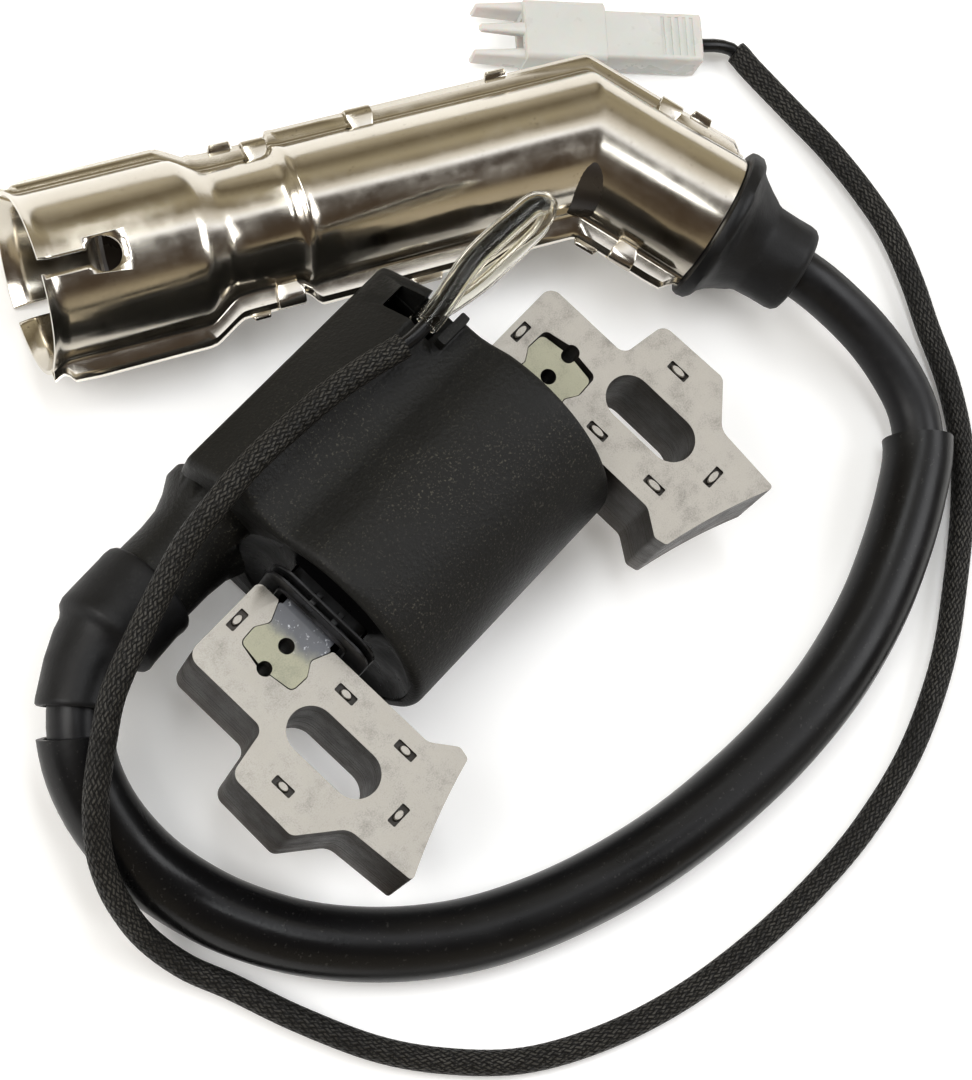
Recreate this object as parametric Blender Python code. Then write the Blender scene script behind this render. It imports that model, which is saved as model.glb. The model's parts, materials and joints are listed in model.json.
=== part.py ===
# Ignition coil of a small engine: a laminated two-leg core through a potted
# coil housing, a high-tension lead to an angled metal-shielded plug cap, and a
# braided stop-switch lead that ends in a white connector.
#
# The coil frame: X runs along the core's bar, +Y points away from the two pole
# faces, +Z is up. The coil lies on its round housing, on the plane Z = 0.
import math

import bmesh
import bpy
from mathutils import Matrix, Vector

MM = 0.001                       # every size below is in millimetres
GAP = 0.3                        # clearance between pieces that touch

# Assembly: the middle of everything that isn't on a lead, in the coil frame
ASSEMBLY_CENTRE = (12.18, 11.91)

# Laminated core
CORE_MID = 16.0                  # height of the stack's mid-plane
CORE_THICK = 13.4
LEG_INNER = 21.4                 # inner edge of a leg, from the core's centre plane
LEG_OUTER = 34.5
EAR_OUTER = 41.8                 # outer edge of the ear beside the slot
LEG_TOP = 1.4                    # end of the leg behind the bar
SLOT_X = 30.6                    # mounting slot for a 6 mm bolt
SLOT_ENDS = (-16.0, -23.4)
SLOT_RADIUS = 3.2
FLYWHEEL_RADIUS = 90.0           # the poles are ground to this radius
FLYWHEEL_Y = -120.1
POLE_INNER = 19.4
POLE_OUTER = 35.5
BAR_Y = -6.55
BAR_HALF = 4.55
BAR_NECK = (23.9, 3.7)           # dovetail: place along the bar, half width
BAR_HEAD = (28.4, 4.45)
BAR_END = 29.1
RIVET_HOLE = (25.0, 1.0)         # place along the bar, radius

# Coil housing: a round cup beside a flat-sided tower with the lead's nozzle
CUP_Y = -7.1
CUP_RADIUS = 16.0
CUP_WALL = 1.7
CUP_OPEN_X = -17.2
CUP_CLOSED_X = 20.2
TOWER_Y = 18.4
TOWER_RIDGE = (10.6, 29.6)
SHOULDER = math.radians(50)      # where the tower's flanks leave the round cup
NOZZLE = (11.1, 14.0)            # Y and Z of the high-tension nozzle
NOZZLE_RADIUS = 5.95
NOZZLE_END = -34.0
LEAD_BORE = 3.85
NOTCH_X = (14.8, 18.6)           # pocket that the stop-switch lead comes out of
NOTCH_Y = (7.2, 14.6)
NOTCH_FLOOR = 23.0
LIP_TOP = 30.6                   # little wall that shields the lead's exit
EXIT_Y = (6.5, 11.2)             # gap through the end wall beside the pocket

# Bobbins and windings, all about the bar
TUBE_INNER = (9.7, 14.0)         # width and height
TUBE_OUTER = (11.5, 15.8)
PRIMARY_OUTER = (14.6, 18.6)
SECONDARY_RADII = (11.2, 11.9, 13.9)
WINDING_RADII = (12.2, 13.6)

# Leads
LEAD_RADIUS = 3.5
OUTER_SLEEVE_RADIUS = 4.8
OUTER_SLEEVE_SPAN = (30.0, 192.0)    # along the high-tension lead
BRAID_RADIUS = 1.8
CLEAR_RADIUS = 1.6
WIRE_RADIUS = 1.0
LEAD_STEP = 6.0                  # spacing of the points along the thick lead
THIN_STEP = 5.2
LOOP_STEP = 2.2

# Plug cap, measured along its axis from the elbow: the mouth is at -78
CAP_ELBOW = (57.56, 12.5, 12.2)
CAP_HEADING = math.radians(-28.5)
CAP_ROLL = math.radians(4.0)     # the short arm droops until it touches the table
CAP_BEND = math.radians(46.0)
CAP_MOUTH = -78.0
KEYHOLE_AT = -69.4               # relief hole's centre along the mouth
KEYHOLE_RADIUS = 2.3
KEYHOLE_SLOT = 1.0               # half the width of the slit that opens to the mouth
KEYHOLE_OFFSET = -1.2            # to the side of the mouth's centre line
SHEET = 0.6                      # shield sheet metal
FLANGE = 2.4                     # seam flange beyond the shield's round wall
BOOT_END = 34.3

# The high-tension lead: out of the nozzle, round the coil, up to the cap
LEAD_ROUTE = [
    (-21.6, 11.1, 14.0), (-26.0, 11.1, 14.0), (-30.4, 11.1, 14.0),
    (-34.8, 11.0, 14.0), (-39.4, 10.5, 14.0), (-43.8, 9.0, 13.9),
    (-47.7, 6.1, 13.2), (-50.7, 2.1, 11.8), (-52.5, -2.7, 10.0),
    (-53.2, -8.0, 8.0), (-53.0, -13.4, 6.3), (-51.9, -18.8, 5.2),
    (-50.0, -24.8, 4.9), (-45.9, -32.8, 4.9), (-39.4, -40.8, 4.9),
    (-31.4, -47.6, 4.9), (-22.8, -52.5, 4.9), (-13.4, -56.3, 4.9),
    (-4.0, -59.0, 4.9), (6.4, -60.8, 4.9), (17.4, -61.7, 4.9),
    (28.7, -61.3, 4.9), (39.8, -59.3, 4.9), (49.4, -56.1, 4.9),
    (57.2, -52.6, 4.9), (62.6, -49.4, 4.9), (66.4, -45.2, 5.1),
    (68.3, -39.8, 5.9), (68.9, -34.0, 7.2), (68.4, -28.2, 8.8),
]

# The stop-switch lead: the hairpin above the notch, over the tower and the
# rubber boot, round outside the thick lead to the connector
KILL_ROUTE = [
    (16.8, 9.6, 25.4), (18.6, 9.2, 28.0), (20.8, 8.6, 29.5),
    (24.6, 7.9, 30.2), (28.5, 7.7, 30.4), (32.4, 7.6, 30.4),
    (36.0, 7.7, 30.6), (37.9, 8.5, 31.7), (36.4, 9.5, 33.2),
    (33.0, 9.8, 33.6), (29.2, 10.0, 33.7), (24.6, 10.0, 33.6),
    (20.8, 9.4, 33.4), (17.6, 8.8, 33.1), (12.0, 8.5, 32.4),
    (4.9, 10.0, 32.2), (-0.6, 10.9, 32.2), (-7.4, 11.4, 32.2),
    (-14.4, 11.6, 32.3), (-20.4, 11.2, 31.0), (-25.8, 10.6, 28.2),
    (-32.5, 8.7, 25.2), (-37.8, 6.9, 24.0), (-41.8, 5.5, 23.3),
    (-44.9, 4.1, 22.4), (-48.8, 1.4, 20.6), (-54.1, -2.9, 17.7),
    (-57.5, -7.2, 14.4), (-59.0, -10.7, 11.8), (-59.6, -13.8, 9.4),
    (-59.6, -18.6, 5.9), (-58.2, -24.7, 2.9), (-55.9, -30.6, 2.1),
    (-53.1, -39.2, 2.0), (-48.8, -49.4, 2.0), (-44.2, -56.4, 2.0),
    (-37.2, -63.9, 2.0), (-27.9, -69.7, 2.0), (-16.6, -74.1, 2.0),
    (-3.2, -76.9, 2.0), (10.7, -78.0, 2.0), (20.2, -77.6, 2.0),
    (30.9, -75.8, 2.0), (43.5, -71.2, 2.0), (53.8, -65.2, 2.0),
    (63.2, -58.8, 2.0), (69.4, -53.4, 2.0), (75.0, -46.2, 2.0),
    (79.1, -38.9, 2.0), (82.6, -33.0, 2.0), (85.8, -26.2, 2.0),
    (87.5, -19.6, 2.0), (88.6, -12.1, 2.0), (89.0, -3.9, 2.0),
    (89.4, 3.9, 2.0), (89.6, 7.4, 2.1), (88.3, 9.3, 2.5),
]
CLEAR_LENGTH = 47.5              # clear sleeve, from the notch over the hairpin
WIRE_BARE = 2.6                  # bare wire between the braid and the connector

# Connector on the stop-switch lead
CONNECTOR_REAR = (85.7, 11.5, 2.95)
CONNECTOR_HEADING = math.radians(135.4)
CONNECTOR_HEIGHT = 5.6
CONNECTOR_NARROW = (14.2, 7.1)   # length, width
CONNECTOR_WIDE = (11.6, 7.9)
PRONG_LENGTH = 6.2

SEGMENTS = 24


# ---------------------------------------------------------------- helpers

def clear_scene():
    for item in list(bpy.data.objects):
        bpy.data.objects.remove(item, do_unlink=True)


def make_material(name, colour, roughness, metallic=0.0, alpha=1.0):
    material = bpy.data.materials.new(name)
    material.use_nodes = True
    shader = material.node_tree.nodes["Principled BSDF"]
    shader.inputs["Base Color"].default_value = (*colour, 1.0)
    shader.inputs["Roughness"].default_value = roughness
    shader.inputs["Metallic"].default_value = metallic
    shader.inputs["Alpha"].default_value = alpha
    return material


def add_object(name, mesh, material, parent):
    item = bpy.data.objects.new(name, mesh)
    bpy.context.scene.collection.objects.link(item)
    item.parent = parent
    if material:
        mesh.materials.append(material)
    return item


def finish_mesh(bm, name, material, parent, smooth=True):
    bmesh.ops.recalc_face_normals(bm, faces=bm.faces)
    mesh = bpy.data.meshes.new(name)
    bm.to_mesh(mesh)
    bm.free()
    if smooth:
        mesh.shade_smooth()
        mesh.set_sharp_from_angle(angle=math.radians(35))
    return add_object(name, mesh, material, parent)


def add_empty(name, parent=None):
    item = bpy.data.objects.new(name, None)
    bpy.context.scene.collection.objects.link(item)
    item.parent = parent
    return item


def rounded_outline(corners):
    """Corners are (x, y, radius); each radius becomes an arc."""
    points = []
    for index, (x, y, radius) in enumerate(corners):
        here = Vector((x, y))
        if radius <= 0:
            points.append(here)
            continue
        before = (Vector(corners[index - 1][:2]) - here).normalized()
        after = (Vector(corners[(index + 1) % len(corners)][:2]) - here).normalized()
        half = before.angle(after) / 2
        centre = here + (before + after).normalized() * radius / math.sin(half)
        start = here + before * radius / math.tan(half) - centre
        sweep = start.angle_signed(here + after * radius / math.tan(half) - centre)
        steps = max(2, math.ceil(abs(sweep) / math.radians(24)))
        for step in range(steps + 1):
            turn = Matrix.Rotation(-sweep * step / steps, 2)
            points.append(centre + turn @ start)
    return points


def circle(x, y, radius, count=SEGMENTS):
    return [Vector((x + radius * math.cos(math.tau * k / count),
                    y + radius * math.sin(math.tau * k / count))) for k in range(count)]


def arc(x, y, radius, start, end, steps):
    angles = [start + (end - start) * k / steps for k in range(steps + 1)]
    return [Vector((x + radius * math.cos(a), y + radius * math.sin(a))) for a in angles]


def rectangle(x, y, width, height, radius=0.0):
    left, right, low, high = x - width / 2, x + width / 2, y - height / 2, y + height / 2
    return rounded_outline([(left, low, radius), (right, low, radius),
                            (right, high, radius), (left, high, radius)])


def prism(name, outline, span, material, parent, holes=(), along="Z", smooth=True):
    """A flat outline with holes, given depth along Z or, as (Y, Z) points, along X."""
    bm = bmesh.new()
    edges = []
    for loop in [outline, *holes]:
        ring = [bm.verts.new((p[0] * MM, p[1] * MM, span[0] * MM)) for p in loop]
        edges += [bm.edges.new((ring[k - 1], ring[k])) for k in range(len(ring))]
    bmesh.ops.triangle_fill(bm, use_beauty=True, edges=edges)
    made = bmesh.ops.extrude_face_region(bm, geom=bm.faces[:], use_keep_orig=True)
    moved = [v for v in made["geom"] if isinstance(v, bmesh.types.BMVert)]
    bmesh.ops.translate(bm, verts=moved, vec=(0, 0, (span[1] - span[0]) * MM))
    if along == "X":
        turn = Matrix(((0, 0, 1, 0), (1, 0, 0, 0), (0, 1, 0, 0), (0, 0, 0, 1)))
        bmesh.ops.transform(bm, matrix=turn, verts=bm.verts)
    return finish_mesh(bm, name, material, parent, smooth)


def loft(name, rings, material, parent, hollow=False, smooth=True):
    """Rings of equal count, joined in turn; a hollow piece joins last to first."""
    bm = bmesh.new()
    loops = [[bm.verts.new(Vector(p) * MM) for p in ring] for ring in rings]
    pairs = list(zip(loops, loops[1:]))
    if hollow:
        pairs.append((loops[-1], loops[0]))
    else:
        bm.faces.new(loops[0])
        bm.faces.new(loops[-1])
    for first, second in pairs:
        for k in range(len(first)):
            bm.faces.new((first[k - 1], first[k], second[k], second[k - 1]))
    return finish_mesh(bm, name, material, parent, smooth)


def cut(target, tool, operation="DIFFERENCE"):
    """A Boolean modifier; the tool stays in the file as a hidden guide."""
    tool.hide_render = True
    tool.display_type = "WIRE"
    modifier = target.modifiers.new(tool.name, "BOOLEAN")
    modifier.object = tool
    modifier.operation = operation
    modifier.solver = "EXACT"


def smooth_curve(points, steps=12):
    """A Catmull-Rom curve through the points, with centripetal spacing."""
    points = [Vector(p) for p in points]
    ends = [points[0] * 2 - points[1], *points, points[-1] * 2 - points[-2]]
    curve = []
    for a, b, c, d in zip(ends, ends[1:], ends[2:], ends[3:]):
        knots = [0.0]
        for first, second in ((a, b), (b, c), (c, d)):
            knots.append(knots[-1] + math.sqrt((second - first).length))
        t0, t1, t2, t3 = knots
        for step in range(steps):
            t = t1 + (t2 - t1) * step / steps
            p = a.lerp(b, (t - t0) / (t1 - t0))
            q = b.lerp(c, (t - t1) / (t2 - t1))
            r = c.lerp(d, (t - t2) / (t3 - t2))
            u = p.lerp(q, (t - t0) / (t2 - t0))
            v = q.lerp(r, (t - t1) / (t3 - t1))
            curve.append(u.lerp(v, (t - t1) / (t2 - t1)))
    return curve + [points[-1]]


class Route:
    """A smooth curve that is read by the distance along it."""

    def __init__(self, points):
        self.curve = smooth_curve(points)
        self.marks = [0.0]
        for first, second in zip(self.curve, self.curve[1:]):
            self.marks.append(self.marks[-1] + (second - first).length)
        self.length = self.marks[-1]

    def at(self, distance):
        distance = min(max(distance, 0.0), self.length)
        for k in range(1, len(self.marks)):
            if distance <= self.marks[k]:
                break
        part = (distance - self.marks[k - 1]) / (self.marks[k] - self.marks[k - 1])
        return self.curve[k - 1].lerp(self.curve[k], part)

    def between(self, start, end, step):
        count = max(2, math.ceil((end - start) / step))
        return [start + (end - start) * k / count for k in range(count + 1)]


def route_rings(route, stations, sides):
    """Rings (distance, radius) square to the route, without twist."""
    rings = []
    side = Vector((0, 0, 1))
    for distance, radius in stations:
        tangent = (route.at(distance + 0.5) - route.at(distance - 0.5)).normalized()
        side = (side - tangent * side.dot(tangent)).normalized()
        other = tangent.cross(side)
        middle = route.at(distance)
        rings.append([middle + radius * (side * math.cos(a) + other * math.sin(a))
                      for a in (math.tau * k / sides for k in range(sides))])
    return rings


def route_shell(name, route, outer, inner, material, parent, sides=SEGMENTS):
    outside = route_rings(route, outer, sides)
    inside = route_rings(route, inner, sides)
    return loft(name, outside + inside[::-1], material, parent, hollow=True)


def cord(name, points, radius, material, parent, sides=2):
    """A plain round tube on a poly line, with its ends filled."""
    data = bpy.data.curves.new(name, "CURVE")
    data.dimensions = "3D"
    data.bevel_depth = radius * MM
    data.bevel_resolution = sides
    data.use_fill_caps = True
    data.render_resolution_u = 0
    line = data.splines.new("POLY")
    line.points.add(len(points) - 1)
    for point, place in zip(line.points, points):
        point.co = (*(place * MM), 1.0)
    item = bpy.data.objects.new(name, data)
    bpy.context.scene.collection.objects.link(item)
    item.parent = parent
    data.materials.append(material)
    return item


# ---------------------------------------------------------------- core

def pole_point(x):
    reach = math.sqrt(FLYWHEEL_RADIUS ** 2 - x ** 2)
    return Vector((x, FLYWHEEL_Y + reach))


def leg_outline():
    neck_x, neck = BAR_NECK
    head_x, head = BAR_HEAD
    corners = [
        (LEG_INNER, BAR_Y + BAR_HALF + GAP, 0),
        (LEG_INNER, LEG_TOP, 0.5),
        (LEG_OUTER, LEG_TOP, 1.6),
        (LEG_OUTER, -11.4, 1.2),
        (EAR_OUTER - 0.4, -12.6, 1.4),
        (EAR_OUTER, -22.9, 1.2),
        (36.2, -27.4, 2.0),
        (POLE_OUTER, pole_point(POLE_OUTER).y, 0.5),
    ]
    outline = rounded_outline(corners)
    span = POLE_OUTER - POLE_INNER
    outline += [pole_point(POLE_OUTER - span * (0.1 + 0.8 * k / 5)) for k in range(6)]
    inner = [
        (POLE_INNER, pole_point(POLE_INNER).y, 0.6),
        (19.0, -30.6, 0.8),
        (LEG_INNER, -27.3, 1.6),
        (LEG_INNER, BAR_Y - BAR_HALF - GAP, 0),
        (neck_x, BAR_Y - neck - GAP, 0),
        (head_x, BAR_Y - head - GAP, 0),
        (BAR_END + GAP, BAR_Y - head + 1.2, 0),
        (BAR_END + GAP, BAR_Y + head - 1.2, 0),
        (head_x, BAR_Y + head + GAP, 0),
        (neck_x, BAR_Y + neck + GAP, 0),
    ]
    guide = [(*outline[-1], 0), *inner, (*outline[0], 0)]
    return outline + rounded_outline(guide)[1:-1]


def build_core(parent, steel):
    low, high = CORE_MID - CORE_THICK / 2, CORE_MID + CORE_THICK / 2
    slot = (arc(SLOT_X, SLOT_ENDS[0], SLOT_RADIUS, 0, math.pi, 10)
            + arc(SLOT_X, SLOT_ENDS[1], SLOT_RADIUS, math.pi, math.tau, 10))
    for name, side in (("left_leg_stack", -1), ("right_leg_stack", 1)):
        outline = [Vector((side * p.x, p.y)) for p in leg_outline()]
        hole = [Vector((side * p.x, p.y)) for p in slot]
        prism(name, outline, (low, high), steel, parent, holes=[hole])
    neck_x, neck = BAR_NECK
    head_x, head = BAR_HEAD
    end = [(LEG_INNER, BAR_HALF), (neck_x, neck), (head_x, head), (BAR_END, head - 1.2)]
    right = [(x, BAR_Y - half) for x, half in end]
    right += [(x, BAR_Y + half) for x, half in end[::-1]]
    left = [(-x, y) for x, y in right[::-1]]
    holes = [circle(side * RIVET_HOLE[0], BAR_Y, RIVET_HOLE[1], 12) for side in (-1, 1)]
    prism("core_bar_stack", right + left, (low, high), steel, parent, holes=holes)


# ---------------------------------------------------------------- coil

def cup_profile(inset):
    """Cross-section (Y, Z) of the housing, or of its hollow when inset."""
    bottom = 1.5 * math.pi
    profile = arc(CUP_Y, CORE_MID, CUP_RADIUS - inset, SHOULDER, bottom, 26)
    flank = TOWER_Y - inset
    corners = [(*profile[-1], 0), (13.4 - inset * 0.5, inset, 0.8),
               (flank, 5.8 + inset * 0.4, 1.2), (flank, 23.6 - inset * 0.5, 1.2),
               (TOWER_RIDGE[0], TOWER_RIDGE[1] - inset * 1.3, 0.8),
               (8.0, 28.4 - inset, 0.4), (*profile[0], 0)]
    return profile + rounded_outline(corners)[1:-1]


def build_housing(parent, plastic):
    housing = prism("coil_housing", cup_profile(0), (CUP_OPEN_X, CUP_CLOSED_X),
                    plastic, parent, along="X")

    def block(name, x, y, z):
        return prism(name, rectangle((x[0] + x[1]) / 2, (y[0] + y[1]) / 2,
                                     x[1] - x[0], y[1] - y[0]), z, None, parent)

    nozzle = prism("guide_nozzle", circle(*NOZZLE, NOZZLE_RADIUS),
                   (NOZZLE_END, CUP_OPEN_X + 1.0), None, parent, along="X")
    cut(housing, nozzle, "UNION")
    cut(housing, block("guide_lip", (15.0, CUP_CLOSED_X - 0.2), (5.2, EXIT_Y[0]),
                       (24.0, LIP_TOP)), "UNION")
    hollow = circle(CUP_Y, CORE_MID, CUP_RADIUS - CUP_WALL, 40)
    inner_end = CUP_CLOSED_X - CUP_WALL
    cut(housing, prism("guide_cup_hollow", hollow, (CUP_OPEN_X - 2.0, inner_end),
                       None, parent, along="X"))
    cut(housing, prism("guide_tower_hollow", cup_profile(CUP_WALL),
                       (CUP_OPEN_X + CUP_WALL, inner_end), None, parent, along="X"))
    cut(housing, prism("guide_bar_hole", rectangle(BAR_Y, CORE_MID, *TUBE_INNER),
                       (inner_end - 1.0, CUP_CLOSED_X + 1.0), None, parent, along="X"))
    cut(housing, prism("guide_lead_bore", circle(*NOZZLE, LEAD_BORE),
                       (NOZZLE_END - 1.0, -19.0), None, parent, along="X"))
    cut(housing, prism("guide_pin_hole", circle(*NOZZLE, 1.3, 12),
                       (-19.5, -14.0), None, parent, along="X"))
    cut(housing, block("guide_notch", NOTCH_X, NOTCH_Y, (NOTCH_FLOOR, 34.0)))
    cut(housing, block("guide_exit", (NOTCH_X[1] - 0.5, CUP_CLOSED_X + 1.0), EXIT_Y,
                       (25.6, 34.0)))
    return housing


def build_windings(parent, looks):
    tube = rectangle(BAR_Y, CORE_MID, *TUBE_OUTER, 1.5)
    bobbin = prism("primary_bobbin", tube, (-20.4, 18.2), looks["nylon"], parent, along="X")
    flange = rectangle(-7.0, CORE_MID, 23.0, 24.0, 4.0)
    inner_flange = rectangle(BAR_Y, CORE_MID, 17.0, 21.0, 4.0)
    cut(bobbin, prism("guide_flange", flange, (-21.0, -19.4), None, parent, along="X"), "UNION")
    cut(bobbin, prism("guide_inner_flange", inner_flange, (16.9, 18.2), None, parent,
                      along="X"), "UNION")
    cut(bobbin, prism("guide_bobbin_hole", rectangle(BAR_Y, CORE_MID, *TUBE_INNER),
                      (-22.0, 19.0), None, parent, along="X"))
    wound = (TUBE_OUTER[0] + 2 * GAP, TUBE_OUTER[1] + 2 * GAP)
    prism("primary_winding", rectangle(BAR_Y, CORE_MID, *PRIMARY_OUTER, 4.0), (-14.0, 16.5),
          looks["copper"], parent, holes=[rectangle(BAR_Y, CORE_MID, *wound, 1.5)], along="X")
    bore, barrel, rim = SECONDARY_RADII
    profile = [(-14.6, bore), (-14.6, rim), (-13.8, rim), (-13.8, barrel),
               (15.6, barrel), (15.6, rim), (16.4, rim), (16.4, bore)]
    rings = [[(x, p.x, p.y) for p in circle(CUP_Y, CORE_MID, r, 32)] for x, r in profile]
    loft("secondary_bobbin", rings, looks["nylon"], parent, hollow=True)
    inner, outer = WINDING_RADII
    profile = [(-13.5, inner), (-13.5, outer), (15.3, outer), (15.3, inner)]
    rings = [[(x, p.x, p.y) for p in circle(CUP_Y, CORE_MID, r, 32)] for x, r in profile]
    loft("secondary_winding", rings, looks["copper"], parent, hollow=True)
    prism("potting_fill", circle(CUP_Y, CORE_MID, CUP_RADIUS - CUP_WALL - GAP, 40),
          (-16.8, -15.0), looks["epoxy"], parent,
          holes=[rectangle(BAR_Y, CORE_MID, *wound, 1.5)], along="X")


def build_electronics(parent, looks):
    prism("circuit_board", rectangle(8.8, 14.8, 1.4, 15.0), (-9.0, 13.4),
          looks["board"], parent, along="X", smooth=False)
    prism("power_transistor", rectangle(12.2, 12.6, 4.4, 9.4), (2.4, 12.4),
          looks["epoxy"], parent, along="X", smooth=False)
    prism("capacitor", rectangle(12.0, 12.6, 4.4, 7.0, 0.8), (-7.6, 0.6),
          looks["capacitor"], parent, along="X")
    prism("resistor", circle(11.2, 19.2, 1.2, 12), (-7.4, -1.0), looks["resistor"],
          parent, along="X")
    prism("diode", circle(11.2, 19.6, 1.2, 12), (2.0, 7.4), looks["epoxy"], parent,
          along="X")
    profile = [(-21.3, 0.3), (-20.2, 0.9), (-13.4, 0.9), (-13.4, 2.4), (-12.4, 2.4)]
    rings = [[(x, p.x, p.y) for p in circle(*NOZZLE, r, 12)] for x, r in profile]
    loft("hv_terminal", rings, looks["brass"], parent)


# ---------------------------------------------------------------- leads

def build_leads(parent, looks):
    swing = cap_matrix()
    tail = [swing @ cap_place(s, 0, 0) for s in (BOOT_END + 1.2, 28.0, 21.0, 15.0)]
    lead = Route(LEAD_ROUTE + tail)
    span = lead.between(0.0, lead.length, LEAD_STEP)
    cord("hv_lead", [lead.at(d) for d in span], LEAD_RADIUS, looks["jacket"], parent, 3)
    start, end = OUTER_SLEEVE_SPAN
    stations = [d for d in span if start - LEAD_STEP / 2 < d < end]
    route_shell("outer_sleeve", lead, [(d, OUTER_SLEEVE_RADIUS) for d in stations],
                [(d, LEAD_BORE) for d in stations], looks["sleeve"], parent, 14)
    outer = [(7.3, 6.5), (7.9, 6.9), (15.6, 6.9), (16.4, 6.5), (17.2, 5.7), (21.0, 5.2),
             (25.8, 4.9)]
    inner = [(7.3, 6.25), (12.8, 6.25), (12.9, LEAD_BORE), (17.2, LEAD_BORE),
             (21.0, LEAD_BORE), (25.8, LEAD_BORE)]
    route_shell("tower_boot", lead, outer, inner, looks["rubber"], parent, 20)

    kill = Route(KILL_ROUTE)
    braid_end = kill.length - WIRE_BARE
    loop = kill.between(0.0, CLEAR_LENGTH, LOOP_STEP)
    cord("clear_sleeve", [kill.at(d) for d in loop], CLEAR_RADIUS, looks["clear"], parent)
    braid = kill.between(CLEAR_LENGTH + GAP, braid_end, THIN_STEP)
    cord("braided_sleeve", [kill.at(d) for d in braid], BRAID_RADIUS, looks["braid"], parent)
    entry = connector_matrix() @ Vector((3.0, 0.0, 0.0))
    rear = connector_matrix() @ Vector((-1.2, 0.0, 0.0))
    leave = kill.at(braid_end)
    ahead = (leave - kill.at(braid_end - THIN_STEP)).normalized()
    wire = Route([leave + ahead * GAP, leave + ahead * WIRE_BARE / 2, rear, entry])
    bare = wire.between(0.0, wire.length, 1.2)
    cord("kill_wire", [wire.at(d) for d in bare], WIRE_RADIUS, looks["wire"], parent)


def connector_matrix():
    return Matrix.Translation(CONNECTOR_REAR) @ Matrix.Rotation(CONNECTOR_HEADING, 4, "Z")


def build_connector(parent, looks):
    place = connector_matrix()
    narrow, width = CONNECTOR_NARROW
    wide, wide_width = CONNECTOR_WIDE
    high = CONNECTOR_HEIGHT

    def ring(x, w, h):
        points = rectangle(0, 0, w, h, min(w, h) * 0.14)
        return [place @ Vector((x, p.x, p.y)) for p in points]

    outside = [(0.0, width, high), (narrow - 0.5, width, high),
               (narrow + 0.5, wide_width, high), (narrow + wide, wide_width, high)]
    inside = [(0.0, 2.7, 2.7), (4.0, 2.7, 2.7), (4.1, 4.6, 3.8), (narrow + wide, 4.6, 3.8)]
    shell = [ring(*s) for s in outside] + [ring(*s) for s in inside[::-1]]
    body = loft("connector_housing", shell, looks["white"], parent, hollow=True)
    front = narrow + wide
    for index, (side, lift) in enumerate(((-3.1, 0.0), (0.0, 2.35), (3.1, 0.0))):
        tall = high * 0.72 if lift == 0.0 else 0.8
        broad = 1.5 if lift == 0.0 else 3.0
        rings = []
        for x, scale in ((-0.8, 1.0), (1.5, 0.95), (PRONG_LENGTH - 1.2, 0.6),
                         (PRONG_LENGTH, 0.3)):
            points = rectangle(side, lift, broad * scale, tall * (0.5 + scale / 2))
            rings.append([place @ Vector((front + x, p.x, p.y)) for p in points])
        prong = loft(f"guide_prong_{index}", rings, None, parent, smooth=False)
        cut(body, prong, "UNION")
    rings = []
    for x, radius in ((4.6, 0.8), (6.0, 1.5), (14.0, 1.5), (19.0, 1.45), (21.0, 0.9)):
        rings.append([place @ Vector((x, p.x, p.y)) for p in circle(0, 0, radius, 12)])
    loft("kill_terminal", rings, looks["brass"], parent)


# ---------------------------------------------------------------- plug cap

def cap_matrix():
    """Cap frame: elbow at the origin, long arm along -X, short arm turned down."""
    turn = Matrix.Rotation(CAP_HEADING, 4, "Z") @ Matrix.Rotation(CAP_ROLL, 4, "X")
    return Matrix.Translation(CAP_ELBOW) @ turn


def cap_place(s, y, z):
    """A point at distance s along the bent axis, y to its left and z above it."""
    if abs(s) < 0.01:
        return Vector((y * math.tan(CAP_BEND / 2), y, z))
    if s < 0:
        return Vector((s, y, z))
    along = Vector((math.cos(CAP_BEND), -math.sin(CAP_BEND), 0))
    left = Vector((math.sin(CAP_BEND), math.cos(CAP_BEND), 0))
    return along * s + left * y + Vector((0, 0, z))


def cap_ring(s, radius, sides):
    return [cap_place(s, p.x, p.y) for p in circle(0, 0, radius, sides)]


def cap_solid(name, stations, material, parent, sides=16):
    return loft(name, [cap_ring(s, r, sides) for s, r in stations], material, parent)


def cap_shell(name, outer, inner, material, parent, sides=SEGMENTS):
    rings = [cap_ring(s, r, sides) for s, r in outer]
    rings += [cap_ring(s, r, sides) for s, r in inner[::-1]]
    return loft(name, rings, material, parent, hollow=True)


def shield_section(s, radius, flange, side):
    """Half-round sheet with a seam flange on each side; side is 1 above, -1 below."""
    low, high = GAP / 2, GAP / 2 + SHEET
    inner = radius - SHEET
    begin, within = math.asin(high / radius), math.asin(low / inner)
    points = [Vector((radius + flange, low)), Vector((radius + flange, high))]
    points += arc(0, 0, radius, begin, math.pi - begin, 14)
    points += [Vector((-radius - flange, high)), Vector((-radius - flange, low))]
    points += arc(0, 0, inner, math.pi - within, within, 14)
    return [cap_place(s, p.x, side * p.y) for p in points]


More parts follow.
